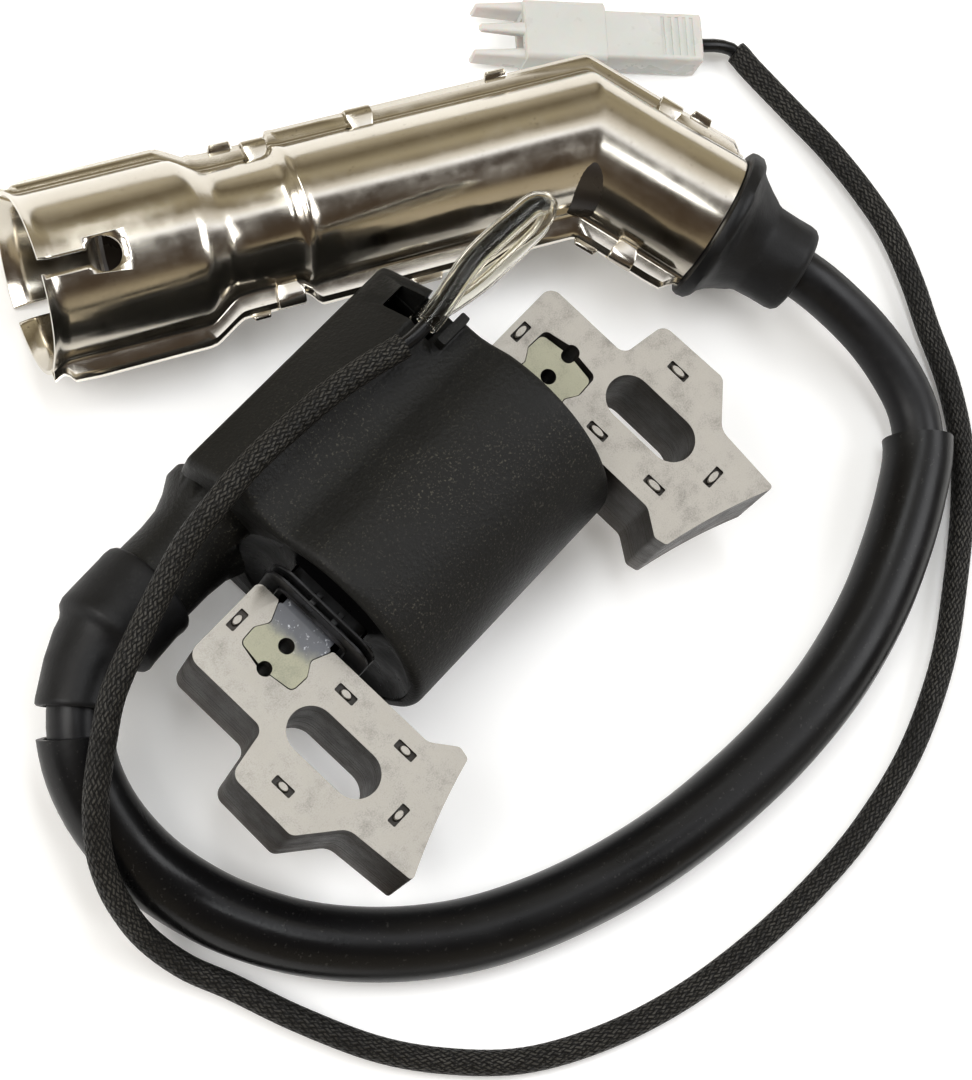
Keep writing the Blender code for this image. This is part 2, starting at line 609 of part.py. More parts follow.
def build_cap(parent, looks):
    stations = [(CAP_MOUTH, 12.0, 0.3), (-76.8, 11.2, 0.5), (-75.6, 11.0, FLANGE),
                (-56.2, 11.0, FLANGE), (-52.0, 8.5, FLANGE), (-42.6, 8.4, FLANGE),
                (-41.9, 9.2, FLANGE), (0.0, 9.1, FLANGE), (18.6, 9.4, FLANGE),
                (19.0, 9.4, 0.5), (20.5, 9.4, 0.3)]
    for name, side in (("shield_upper", 1), ("shield_lower", -1)):
        rings = [shield_section(*station, side) for station in stations]
        shell = loft(name, rings, looks["plated"], parent)
        opening = math.asin(KEYHOLE_SLOT / KEYHOLE_RADIUS)
        slit = arc(KEYHOLE_AT, KEYHOLE_OFFSET, KEYHOLE_RADIUS, math.pi - opening,
                   opening - math.pi, 14)
        slit = [Vector((CAP_MOUTH - 2.0, KEYHOLE_OFFSET + KEYHOLE_SLOT)), *slit,
                Vector((CAP_MOUTH - 2.0, KEYHOLE_OFFSET - KEYHOLE_SLOT))]
        cut(shell, prism(f"guide_keyhole_{name}", slit, (side * 4.0, side * 16.0), None, parent))

    outer = [(-66.0, 9.2), (-65.4, 9.9), (-57.2, 9.9), (-52.2, 7.5), (-43.0, 7.5),
             (-41.2, 8.2), (0.0, 8.15), (14.0, 8.3)]
    inner = [(-66.0, 6.4), (-53.0, 6.4), (-52.9, 3.8), (-43.0, 3.8), (-42.9, 3.1),
             (0.0, 3.1), (14.0, 3.1)]
    cap_shell("cap_insulator", outer, inner, looks["bakelite"], parent)
    outer = [(14.3, 8.2), (20.7, 8.2), (20.8, 10.8), (22.7, 10.8), (23.4, 9.0),
             (27.0, 6.9), (27.3, 6.5), (33.4, 6.4), (BOOT_END, 5.6)]
    inner = [(14.3, LEAD_BORE), (BOOT_END, LEAD_BORE)]
    cap_shell("cap_boot", outer, inner, looks["rubber"], parent)

    cap_shell("plug_terminal", [(-56.0, 3.3), (-55.4, 3.5), (-43.3, 3.5)],
              [(-56.0, 2.7), (-43.3, 2.7)], looks["brass"], parent, 16)
    opening = math.radians(60)
    turns = [opening / 2 + (math.tau - opening) * k / 16 for k in range(17)]
    ring = []
    for angle in turns:
        out = Vector((0, math.cos(angle), math.sin(angle)))
        wire = circle(0, 0, 0.35, 6)
        ring.append([Vector((-54.2, 0, 0)) + out * (4.25 + p.x) + Vector((p.y, 0, 0))
                     for p in wire])
    loft("snap_ring", ring, looks["steel"], parent)
    cap_solid("cap_resistor", [(-42.6, 2.0), (-42.0, 2.7), (-27.0, 2.7), (-26.4, 2.0)],
              looks["resistor"], parent)
    cap_solid("corner_contact", [(-5.0, 2.4), (0.0, 2.4), (3.2, 2.4)], looks["brass"], parent)
    cap_solid("lead_screw", [(3.6, 2.7), (4.9, 2.7), (5.0, 1.4), (12.6, 1.3), (14.6, 0.3)],
              looks["brass"], parent, 12)
    coils, steps = 6, 12
    rings = []
    for k in range(coils * steps + 1):
        angle = math.tau * k / steps
        out = Vector((0, math.cos(angle), math.sin(angle)))
        start = Vector((-25.6 + 20.0 * k / (coils * steps), 0, 0))
        rings.append([start + out * (2.2 + p.x) + Vector((p.y, 0, 0))
                      for p in circle(0, 0, 0.35, 5)])
    loft("contact_spring", rings, looks["steel"], parent)


# ---------------------------------------------------------------- assembly

def main():
    clear_scene()
    looks = {
        "steel_stack": make_material("silicon_steel", (0.56, 0.54, 0.50), 0.42, 0.85),
        "plastic": make_material("black_moulding", (0.022, 0.022, 0.024), 0.62),
        "nylon": make_material("bobbin_nylon", (0.03, 0.03, 0.03), 0.5),
        "copper": make_material("enamelled_copper", (0.55, 0.22, 0.09), 0.35, 0.8),
        "epoxy": make_material("black_epoxy", (0.015, 0.015, 0.017), 0.3),
        "board": make_material("green_board", (0.03, 0.16, 0.06), 0.5),
        "capacitor": make_material("capacitor_case", (0.5, 0.12, 0.04), 0.45),
        "resistor": make_material("resistor_body", (0.55, 0.46, 0.3), 0.55),
        "brass": make_material("brass_contact", (0.72, 0.52, 0.22), 0.3, 1.0),
        "steel": make_material("spring_steel", (0.5, 0.5, 0.52), 0.3, 1.0),
        "jacket": make_material("lead_jacket", (0.02, 0.02, 0.021), 0.45),
        "sleeve": make_material("outer_tubing", (0.016, 0.016, 0.017), 0.35),
        "rubber": make_material("black_rubber", (0.018, 0.018, 0.019), 0.55),
        "clear": make_material("clear_tubing", (0.78, 0.76, 0.68), 0.2, 0.0, 0.5),
        "braid": make_material("varnished_braid", (0.03, 0.029, 0.026), 0.7),
        "wire": make_material("wire_insulation", (0.012, 0.012, 0.013), 0.25),
        "white": make_material("white_nylon", (0.86, 0.86, 0.83), 0.4),
        "plated": make_material("plated_shield", (0.66, 0.6, 0.5), 0.16, 1.0),
        "bakelite": make_material("bakelite", (0.02, 0.018, 0.016), 0.4),
    }
    coil = add_empty("coil_frame")
    coil.location = (-ASSEMBLY_CENTRE[0] * MM, -ASSEMBLY_CENTRE[1] * MM, 0)
    pivot = add_empty("cap_pivot", coil)
    pivot.location = Vector(CAP_ELBOW) * MM
    pivot.rotation_euler = (CAP_ROLL, 0, CAP_HEADING)

    build_core(coil, looks["steel_stack"])
    build_housing(coil, looks["plastic"])
    build_windings(coil, looks)
    build_electronics(coil, looks)
    build_leads(coil, looks)
    build_connector(coil, looks)
    build_cap(pivot, looks)


main()
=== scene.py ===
import json
import math

import bmesh
import bpy
from mathutils import Matrix, Vector, noise

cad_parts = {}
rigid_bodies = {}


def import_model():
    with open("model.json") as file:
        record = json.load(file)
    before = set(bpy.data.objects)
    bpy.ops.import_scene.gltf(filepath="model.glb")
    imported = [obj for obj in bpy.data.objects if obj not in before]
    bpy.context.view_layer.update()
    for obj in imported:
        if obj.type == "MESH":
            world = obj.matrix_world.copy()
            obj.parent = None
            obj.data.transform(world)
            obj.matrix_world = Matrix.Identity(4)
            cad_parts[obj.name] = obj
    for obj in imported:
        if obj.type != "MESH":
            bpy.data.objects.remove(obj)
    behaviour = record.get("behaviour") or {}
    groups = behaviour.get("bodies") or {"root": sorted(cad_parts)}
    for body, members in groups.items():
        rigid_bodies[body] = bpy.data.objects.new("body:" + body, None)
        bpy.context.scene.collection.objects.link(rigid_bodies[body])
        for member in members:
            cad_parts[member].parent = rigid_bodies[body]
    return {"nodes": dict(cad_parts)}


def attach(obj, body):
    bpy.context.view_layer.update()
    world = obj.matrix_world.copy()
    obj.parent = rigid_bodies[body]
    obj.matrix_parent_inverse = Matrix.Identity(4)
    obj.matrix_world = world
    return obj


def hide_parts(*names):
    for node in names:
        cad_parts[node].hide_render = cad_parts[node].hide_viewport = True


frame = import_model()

# Ignition coil of a small engine. Sizes are in millimetres in the coil's own
# frame, and every mesh is moved into the assembly's frame as it is made.
mm = 0.001
coilCentre = Vector((12.18, 11.91, 0))
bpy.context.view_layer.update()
scene = bpy.context.scene


class Wire:
    # a node's output that can be used in sums
    def __init__(self, nodes, socket):
        self.nodes = nodes
        self.socket = socket

    def math(self, operation, *others):
        values = dict(enumerate((self, *others)))
        return self.nodes.node("ShaderNodeMath", {"operation": operation}, values)

    def __add__(self, other):
        return self.math("ADD", other)

    def __sub__(self, other):
        return self.math("SUBTRACT", other)

    def __rsub__(self, other):
        return self.nodes.node("ShaderNodeMath", {"operation": "SUBTRACT"}, {0: other, 1: self})

    def __mul__(self, other):
        return self.math("MULTIPLY", other)

    def __gt__(self, other):
        return self.math("GREATER_THAN", other)

    def __lt__(self, other):
        return self.math("LESS_THAN", other)

    __radd__ = __add__
    __rmul__ = __mul__

    def fraction(self):
        return self.math("FRACT")

    def steps(self, low, high, start=0.0, end=1.0):
        settings = {"interpolation_type": "SMOOTHSTEP"}
        values = {0: self, 1: low, 2: high, 3: start, 4: end}
        return self.nodes.node("ShaderNodeMapRange", settings, values)


class Nodes:
    # one way to add any node to a shader or geometry tree
    def __init__(self, tree):
        self.tree = tree

    def node(self, kind, settings=None, values=None, output=0):
        made = self.tree.nodes.new(kind)
        for name, value in (settings or {}).items():
            if name == "stops":
                ramp = made.color_ramp.elements
                while len(ramp) < len(value):
                    ramp.new(1.0)
                for stop, (position, colour) in zip(ramp, value):
                    stop.position = position
                    stop.color = (*colour, 1.0)
            else:
                setattr(made, name, value)
        for key, value in (values or {}).items():
            self.feed(made.inputs[key], value)
        return Wire(self, made.outputs[output])

    def vector(self, x=0.0, y=0.0, z=0.0):
        return self.node("ShaderNodeCombineXYZ", None, {0: x, 1: y, 2: z})

    def feed(self, socket, value):
        if isinstance(value, Wire):
            self.tree.links.new(value.socket, socket)
        elif isinstance(value, (tuple, list)) and socket.type == "RGBA":
            socket.default_value = (*value[:3], 1.0)
        else:
            socket.default_value = value


class Finish(Nodes):
    # a material: fixed numbers on the shader, patterns through feed
    def __init__(self, name, **fixed):
        self.material = bpy.data.materials.new(name)
        self.material.use_nodes = True
        super().__init__(self.material.node_tree)
        self.shader = self.tree.nodes["Principled BSDF"]
        for key, value in fixed.items():
            self.surface(key, value)
        self.place = self.node("ShaderNodeTexCoord", output="Object")

    def surface(self, key, value):
        names = {"colour": "Base Color", "roughness": "Roughness", "metallic": "Metallic",
                 "coat": "Coat Weight", "coatRoughness": "Coat Roughness",
                 "transmission": "Transmission Weight", "ior": "IOR", "normal": "Normal",
                 "scatter": "Subsurface Weight", "scatterScale": "Subsurface Scale",
                 "specular": "Specular IOR Level"}
        self.feed(self.shader.inputs[names[key]], value)

    def grain(self, scale, detail=4.0, roughness=0.55, where=None, distortion=0.0):
        values = {"Vector": where or self.place, "Scale": scale, "Detail": detail,
                  "Roughness": roughness, "Distortion": distortion}
        return self.node("ShaderNodeTexNoise", None, values, "Fac")

    def cells(self, scale, where=None, feature="F1"):
        values = {"Vector": where or self.place, "Scale": scale}
        return self.node("ShaderNodeTexVoronoi", {"feature": feature}, values, "Distance")

    def ramp(self, value, stops):
        return self.node("ShaderNodeValToRGB", {"stops": stops}, {"Fac": value}, "Color")

    def blend(self, factor, first, second):
        settings = {"data_type": "RGBA", "clamp_factor": True}
        return self.node("ShaderNodeMix", settings, {0: factor, 6: first, 7: second}, 2)

    def stretch(self, x, y, z):
        return self.node("ShaderNodeMapping", None, {"Vector": self.place, "Scale": (x, y, z)})

    def along(self, axis, where=None):
        return self.node("ShaderNodeSeparateXYZ", None, {0: where or self.place}, axis)

    def uv(self, axis):
        where = self.node("ShaderNodeUVMap", {"uv_map": "tubeMap"})
        return self.node("ShaderNodeSeparateXYZ", None, {0: where}, axis)

    def facing(self, axis):
        normal = self.node("ShaderNodeNewGeometry", output="Normal")
        return self.along(axis, normal)

    def bump(self, height, strength=0.4, distance=0.0002):
        values = {"Height": height, "Strength": strength, "Distance": distance}
        self.surface("normal", self.node("ShaderNodeBump", None, values))


def roundedOutline(corners, turn=12):
    # corners are (x, y, radius); each radius becomes an arc
    points = []
    for index, (x, y, radius) in enumerate(corners):
        here = Vector((x, y))
        if radius <= 0:
            points.append(here)
            continue
        before = (Vector(corners[index - 1][:2]) - here).normalized()
        after = (Vector(corners[(index + 1) % len(corners)][:2]) - here).normalized()
        half = before.angle(after) / 2
        centre = here + (before + after).normalized() * radius / math.sin(half)
        start = here + before * radius / math.tan(half) - centre
        sweep = start.angle_signed(here + after * radius / math.tan(half) - centre)
        steps = max(2, math.ceil(abs(sweep) / math.radians(turn)))
        for step in range(steps + 1):
            points.append(centre + Matrix.Rotation(-sweep * step / steps, 2) @ start)
    return points


def arc(x, y, radius, start, end, steps):
    angles = [start + (end - start) * k / steps for k in range(steps + 1)]
    return [Vector((x + radius * math.cos(a), y + radius * math.sin(a))) for a in angles]


def circle(x, y, radius, count=32):
    return arc(x, y, radius, 0, math.tau * (count - 1) / count, count - 1)


def rectangle(x, y, width, height, radius=0.0):
    left, right, low, high = x - width / 2, x + width / 2, y - height / 2, y + height / 2
    return roundedOutline([(left, low, radius), (right, low, radius),
                           (right, high, radius), (left, high, radius)])


def plate(outline, span, holes=(), alongX=False, bm=None):
    # a flat outline with holes, given depth along Z, or along X from (Y, Z) points
    if bm is None:
        bm = bmesh.new()
    edges, made = [], []
    for loop in [outline, *holes]:
        ring = [bm.verts.new((p[0], p[1], span[0])) for p in loop]
        made += ring
        edges += [bm.edges.new((ring[k - 1], ring[k])) for k in range(len(ring))]
    filled = bmesh.ops.triangle_fill(bm, use_beauty=True, edges=edges)
    faces = [f for f in filled["geom"] if isinstance(f, bmesh.types.BMFace)]
    raised = bmesh.ops.extrude_face_region(bm, geom=faces, use_keep_orig=True)
    moved = [v for v in raised["geom"] if isinstance(v, bmesh.types.BMVert)]
    bmesh.ops.translate(bm, verts=moved, vec=(0, 0, span[1] - span[0]))
    if alongX:
        turn = Matrix(((0, 0, 1, 0), (1, 0, 0, 0), (0, 1, 0, 0), (0, 0, 0, 1)))
        bmesh.ops.transform(bm, matrix=turn, verts=made + moved)
    return bm


def skin(rings, closed=False):
    # joins rings of equal count; a closed skin joins the last to the first
    bm = bmesh.new()
    loops = [[bm.verts.new(p) for p in ring] for ring in rings]
    pairs = list(zip(loops, loops[1:]))
    if closed:
        pairs.append((loops[-1], loops[0]))
    else:
        bm.faces.new(loops[0])
        bm.faces.new(loops[-1])
    for first, second in pairs:
        for k in range(len(first)):
            bm.faces.new((first[k - 1], first[k], second[k], second[k - 1]))
    return bm


def placed(name, data):
    item = bpy.data.objects.new(name, data)
    scene.collection.objects.link(item)
    return item


def mesh(name, bm, material, smooth=35, place=None):
    # the mesh goes into the assembly's frame in metres; its object stays at the origin
    if place:
        bmesh.ops.transform(bm, matrix=place, verts=bm.verts)
    bmesh.ops.translate(bm, verts=bm.verts, vec=-coilCentre)
    bmesh.ops.scale(bm, verts=bm.verts, vec=(mm, mm, mm))
    bmesh.ops.recalc_face_normals(bm, faces=bm.faces)
    data = bpy.data.meshes.new(name)
    bm.to_mesh(data)
    bm.free()
    data.shade_smooth()
    data.set_sharp_from_angle(angle=math.radians(smooth))
    if material:
        data.materials.append(material)
    return placed(name, data)


def applied(item):
    # modifiers become the mesh
    shape = item.evaluated_get(bpy.context.evaluated_depsgraph_get())
    data = bpy.data.meshes.new_from_object(shape)
    item.modifiers.clear()
    item.data = data
    return item


def cut(item, bm, operation="DIFFERENCE", place=None):
    tool = mesh("tool", bm, None, place=place)
    modifier = item.modifiers.new("cut", "BOOLEAN")
    modifier.object = tool
    modifier.operation = operation
    modifier.solver = "EXACT"
    applied(item)
    bpy.data.objects.remove(tool)


def softened(item, width, segments=2, angle=40):
    # a small round along the hard edges
    modifier = item.modifiers.new("round", "BEVEL")
    modifier.width = width * mm
    modifier.segments = segments
    modifier.limit_method = "ANGLE"
    modifier.angle_limit = math.radians(angle)
    return applied(item)


def joined(item, others):
    bm = bmesh.new()
    for part in (item, *others):
        bm.from_mesh(part.data)
    bm.to_mesh(item.data)
    bm.free()
    for part in others:
        bpy.data.objects.remove(part)
    return item


def fit(piece, body, slot, *nodes):
    # the piece rides on a body and stands for the plain solids
    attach(piece, body)
    if nodes:
        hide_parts(*nodes)
    return piece


def spread(start, end, step):
    count = max(1, math.ceil((end - start) / step))
    return [start + (end - start) * k / count for k in range(count + 1)]


def even(start, end, step, radius):
    # stations along a tube that share one radius
    return [(distance, radius) for distance in spread(start, end, step)]


class Route:
    # a smooth curve through points, read by the distance along it
    def __init__(self, points, steps=12):
        points = [Vector(p) for p in points]
        ends = [points[0] * 2 - points[1], *points, points[-1] * 2 - points[-2]]
        self.curve = []
        for a, b, c, d in zip(ends, ends[1:], ends[2:], ends[3:]):
            knots = [0.0]
            for first, second in ((a, b), (b, c), (c, d)):
                knots.append(knots[-1] + math.sqrt((second - first).length))
            t0, t1, t2, t3 = knots
            for step in range(steps):
                t = t1 + (t2 - t1) * step / steps
                p = a.lerp(b, (t - t0) / (t1 - t0))
                q = b.lerp(c, (t - t1) / (t2 - t1))
                r = c.lerp(d, (t - t2) / (t3 - t2))
                u = p.lerp(q, (t - t0) / (t2 - t0))
                v = q.lerp(r, (t - t1) / (t3 - t1))
                self.curve.append(u.lerp(v, (t - t1) / (t2 - t1)))
        self.curve.append(points[-1])
        self.marks = [0.0]
        for first, second in zip(self.curve, self.curve[1:]):
            self.marks.append(self.marks[-1] + (second - first).length)
        self.length = self.marks[-1]
        self.last = 1

    def at(self, distance):
        distance = min(max(distance, 0.0), self.length)
        k = self.last if self.marks[self.last - 1] <= distance else 1
        while k < len(self.marks) - 1 and distance > self.marks[k]:
            k += 1
        self.last = k
        part = (distance - self.marks[k - 1]) / (self.marks[k] - self.marks[k - 1])
        return self.curve[k - 1].lerp(self.curve[k], part)

    def frames(self, distances):
        # middle, side and other side at each distance, without twist
        side, found = Vector((0, 0, 1)), []
        for distance in distances:
            ahead = (self.at(distance + 0.4) - self.at(distance - 0.4)).normalized()
            side = (side - ahead * side.dot(ahead)).normalized()
            found.append((self.at(distance), side.copy(), ahead.cross(side)))
        return found

    def inFrame(self, start, end, step):
        return [(self.at(d) - coilCentre) * mm for d in spread(start, end, step)]


def tube(name, route, outer, material, inner=None, sides=32, relief=None, smooth=50):
    # outer and inner are (distance, radius); relief(distance, angle) adds height
    stations = list(outer) + list(reversed(inner or []))
    count = len(outer)
    frames = route.frames([d for d, r in outer])
    frames += list(reversed(route.frames([d for d, r in inner]))) if inner else []
    bm = bmesh.new()
    layer = bm.loops.layers.uv.new("tubeMap")
    loops = []
    for index, ((distance, radius), (middle, side, other)) in enumerate(zip(stations, frames)):
        ring = []
        for k in range(sides):
            angle = math.tau * k / sides
            reach = radius + (relief(distance, angle) if relief and index < count else 0.0)
            spot = middle + reach * (side * math.cos(angle) + other * math.sin(angle))
            ring.append(bm.verts.new(spot))
        loops.append(ring)
    pairs = [(k, k + 1) for k in range(len(loops) - 1)]
    if inner:
        pairs.append((len(loops) - 1, 0))
    else:
        bm.faces.new(loops[0])
        bm.faces.new(loops[-1])
    round_ = math.tau * outer[len(outer) // 2][1]
    for first, second in pairs:
        for k in range(sides):
            corners = ((first, k), (first, k + 1), (second, k + 1), (second, k))
            face = bm.faces.new([loops[ring][spot % sides] for ring, spot in corners])
            for loop, (ring, spot) in zip(face.loops, corners):
                loop[layer].uv = (spot / sides, stations[ring][0] / round_)
    return mesh(name, bm, material, smooth)


camera = {"place": (-138.56, -18.12, 402.08), "lens": 107.67,
          "right": (0.64762, -0.72446, 0.23610), "down": (-0.67704, -0.68928, -0.25790),
          "ahead": (0.34958, 0.00717, -0.93688)}
data = bpy.data.cameras.new("camera")
data.lens = camera["lens"]
data.sensor_width = 36.0
data.clip_start = 0.02
eye = placed("camera", data)
right, down, ahead = (Vector(camera[k]) for k in ("right", "down", "ahead"))
turn = Matrix((right, -down, -ahead)).transposed().to_4x4()
eye.matrix_world = Matrix.Translation((Vector(camera["place"]) - coilCentre) * mm) @ turn
scene.camera = eye
scene.view_settings.view_transform = "Standard"

floorFinish = Finish("studioFloor", colour=(0.93, 0.93, 0.925), roughness=0.75)
floorFinish.shader.inputs["Emission Color"].default_value = (1.0, 1.0, 1.0, 1.0)
floorFinish.shader.inputs["Emission Strength"].default_value = 0.16
shade = floorFinish.grain(9.0, 3.0)
floorFinish.surface("colour", floorFinish.blend(shade, (0.92, 0.92, 0.915), (0.945, 0.945, 0.94)))
bm = bmesh.new()
bmesh.ops.create_grid(bm, x_segments=4, y_segments=4, size=2.5)
data = bpy.data.meshes.new("studioFloor")
bm.to_mesh(data)
bm.free()
data.materials.append(floorFinish.material)
floor = placed("studioFloor", data)
floor.location.z = -0.0001

# name: place in metres, size, power, colour
lamps = {"softboxLeft": ((-0.55, 0.35, 0.75), (0.55, 0.55), 6.2, (1.0, 0.985, 0.96)),
         "softboxRight": ((0.55, -0.45, 0.70), (0.60, 0.45), 4.4, (0.97, 0.98, 1.0)),
         "stripAbove": ((0.10, 0.16, 0.85), (0.16, 0.9), 2.6, (0.95, 0.98, 1.0))}
for name, (spot, size, power, colour) in lamps.items():
    data = bpy.data.lights.new(name, "AREA")
    data.shape = "RECTANGLE"
    data.size, data.size_y = size
    data.energy = power
    data.color = colour
    lamp = placed(name, data)
    lamp.location = spot
    lamp.rotation_euler = (-Vector(spot)).to_track_quat("-Z", "Y").to_euler()

# the room: bands across the plug cap's axis, from warm to dark to one bright strip
room = {"strength": 0.9, "across": (0.477, 0.879, 0.0)}
world = bpy.data.worlds.new("studioRoom")
world.use_nodes = True
scene.world = world
sky = Nodes(world.node_tree)
backdrop = world.node_tree.nodes["Background"]
ray = sky.node("ShaderNodeTexCoord", output="Generated")
side = sky.node("ShaderNodeVectorMath", {"operation": "DOT_PRODUCT"},
                {0: ray, 1: room["across"]}, "Value")
wander = sky.node("ShaderNodeTexNoise", None, {"Vector": ray, "Scale": 2.2, "Detail": 2.0}, "Fac")
band = side * 0.5 + 0.5 + (wander - 0.5) * 0.10
stops = [(0.0, (0.75, 0.66, 0.50)), (0.10, (0.50, 0.42, 0.29)), (0.17, (0.10, 0.07, 0.045)),
         (0.45, (0.06, 0.045, 0.035)), (0.50, (0.22, 0.20, 0.19)), (0.545, (1.9, 1.95, 2.1)),
         (0.62, (1.1, 1.05, 0.95)), (0.70, (0.30, 0.25, 0.17)), (0.80, (0.55, 0.48, 0.33)),
         (0.90, (0.20, 0.16, 0.10)), (1.0, (0.80, 0.72, 0.55))]
sky.feed(backdrop.inputs["Color"], sky.node("ShaderNodeValToRGB", {"stops": stops},
                                            {"Fac": band}, "Color"))
backdrop.inputs["Strength"].default_value = room["strength"]
print("camera, floor and light are set")


cap = {"elbow": (57.56, 12.5, 12.2), "heading": math.radians(-28.5), "roll": math.radians(4.0),
       "bend": math.radians(46.0)}
capFrame = (Matrix.Translation(cap["elbow"]) @ Matrix.Rotation(cap["heading"], 4, "Z")
            @ Matrix.Rotation(cap["roll"], 4, "X"))


def capSpot(s, y, z):
    # distance s along the bent axis from the elbow, y to its left, z above it
    slant = math.tan(cap["bend"] / 2)
    if abs(s) < 0.01:
        return Vector((y * slant, y, z))
    if s < 0:
        return Vector((min(s, y * slant) if abs(s) < 6 else s, y, z))
    along = Vector((math.cos(cap["bend"]), -math.sin(cap["bend"]), 0))
    left = Vector((math.sin(cap["bend"]), math.cos(cap["bend"]), 0))
    return along * max(s, -y * slant if s < 6 else s) + left * y + Vector((0, 0, z))


jacketFinish = Finish("leadJacket", specular=0.22)
scuff = jacketFinish.grain(900.0, 5.0)
long = jacketFinish.grain(60.0, 3.0)
jacketFinish.surface("colour", jacketFinish.ramp(scuff * 0.5 + long * 0.5, [
    (0.35, (0.004, 0.004, 0.0045)), (0.62, (0.008, 0.008, 0.009)), (0.8, (0.03, 0.03, 0.03))]))
jacketFinish.surface("roughness", long.steps(0.3, 0.7, 0.34, 0.5))
jacketFinish.bump(scuff, 0.25, 0.00008)

tubingFinish = Finish("outerTubing", specular=0.22)
haze = tubingFinish.grain(45.0, 4.0)
dust = tubingFinish.grain(1800.0, 2.0)
tubingFinish.surface("colour", tubingFinish.blend((dust > 0.68) * 0.25, (0.0035, 0.0035, 0.0038),
                                                 (0.06, 0.058, 0.054)))
tubingFinish.surface("roughness", haze.steps(0.3, 0.72, 0.24, 0.42))
tubingFinish.bump(haze * 0.7 + dust * 0.15, 0.3, 0.0003)

leadRoute = Route([
    (-21.6, 11.1, 14.0), (-26.0, 11.1, 14.0), (-30.4, 11.1, 14.0),
    (-34.8, 11.0, 14.0), (-39.4, 10.5, 14.0), (-43.8, 9.0, 13.9),
    (-47.7, 6.1, 13.2), (-50.7, 2.1, 11.8), (-52.5, -2.7, 10.0),
    (-53.2, -8.0, 8.0), (-53.0, -13.4, 6.3), (-51.9, -18.8, 5.2),
    (-50.0, -24.8, 4.9), (-45.9, -32.8, 4.9), (-39.4, -40.8, 4.9),
    (-31.4, -47.6, 4.9), (-22.8, -52.5, 4.9), (-13.4, -56.3, 4.9),
    (-4.0, -59.0, 4.9), (6.4, -60.8, 4.9), (17.4, -61.7, 4.9),
    (28.7, -61.3, 4.9), (39.8, -59.3, 4.9), (49.4, -56.1, 4.9),
    (57.2, -52.6, 4.9), (62.6, -49.4, 4.9), (66.4, -45.2, 5.1),
    (68.3, -39.8, 5.9), (68.9, -34.0, 7.2), (68.4, -28.2, 8.8),
    *[capFrame @ capSpot(s, 0, 0) for s in (35.5, 28.0, 21.0, 15.0)]])

lead = {"radius": 3.5, "sleeveRadius": 4.75, "sleeveBore": 3.9, "sleeveStart": 29.4,
        "sleeveEnd": 191.9, "rim": 4.45, "flare": 0.13, "oval": 0.10, "unevenness": 0.05}
stations = [(0.0, 2.9), (0.5, 3.4), *even(1.0, leadRoute.length - 0.6, 1.6, lead["radius"]),
            (leadRoute.length, 3.0)]
hvLead = tube("highTensionLead", leadRoute, stations, jacketFinish.material, sides=40,
              relief=lambda d, a: 0.03 * noise.noise(Vector((d * 0.2, a, 3.0))))


def sleeveRelief(distance, angle):
    # the tubing is soft: a little oval, and frayed open where it was cut
    near = min(distance - lead["sleeveStart"], lead["sleeveEnd"] - distance)
    flare = lead["flare"] * math.exp(-max(near, 0.0) / 2.2)
    oval = lead["oval"] * math.cos(2 * angle + distance * 0.03)
    return flare + oval * math.exp(-max(near, 0.0) / 14) + lead["unevenness"] * noise.noise(
        Vector((distance * 0.09, math.cos(angle), math.sin(angle))))


span = (lead["sleeveStart"], lead["sleeveEnd"], 1.6)
outer = [(span[0] - 0.05, lead["rim"]), *even(*span, lead["sleeveRadius"]),
         (span[1] + 0.05, lead["rim"])]
inner = even(*span, lead["sleeveBore"])
hvSleeve = tube("outerSleeve", leadRoute, outer, tubingFinish.material, inner, 40, sleeveRelief)

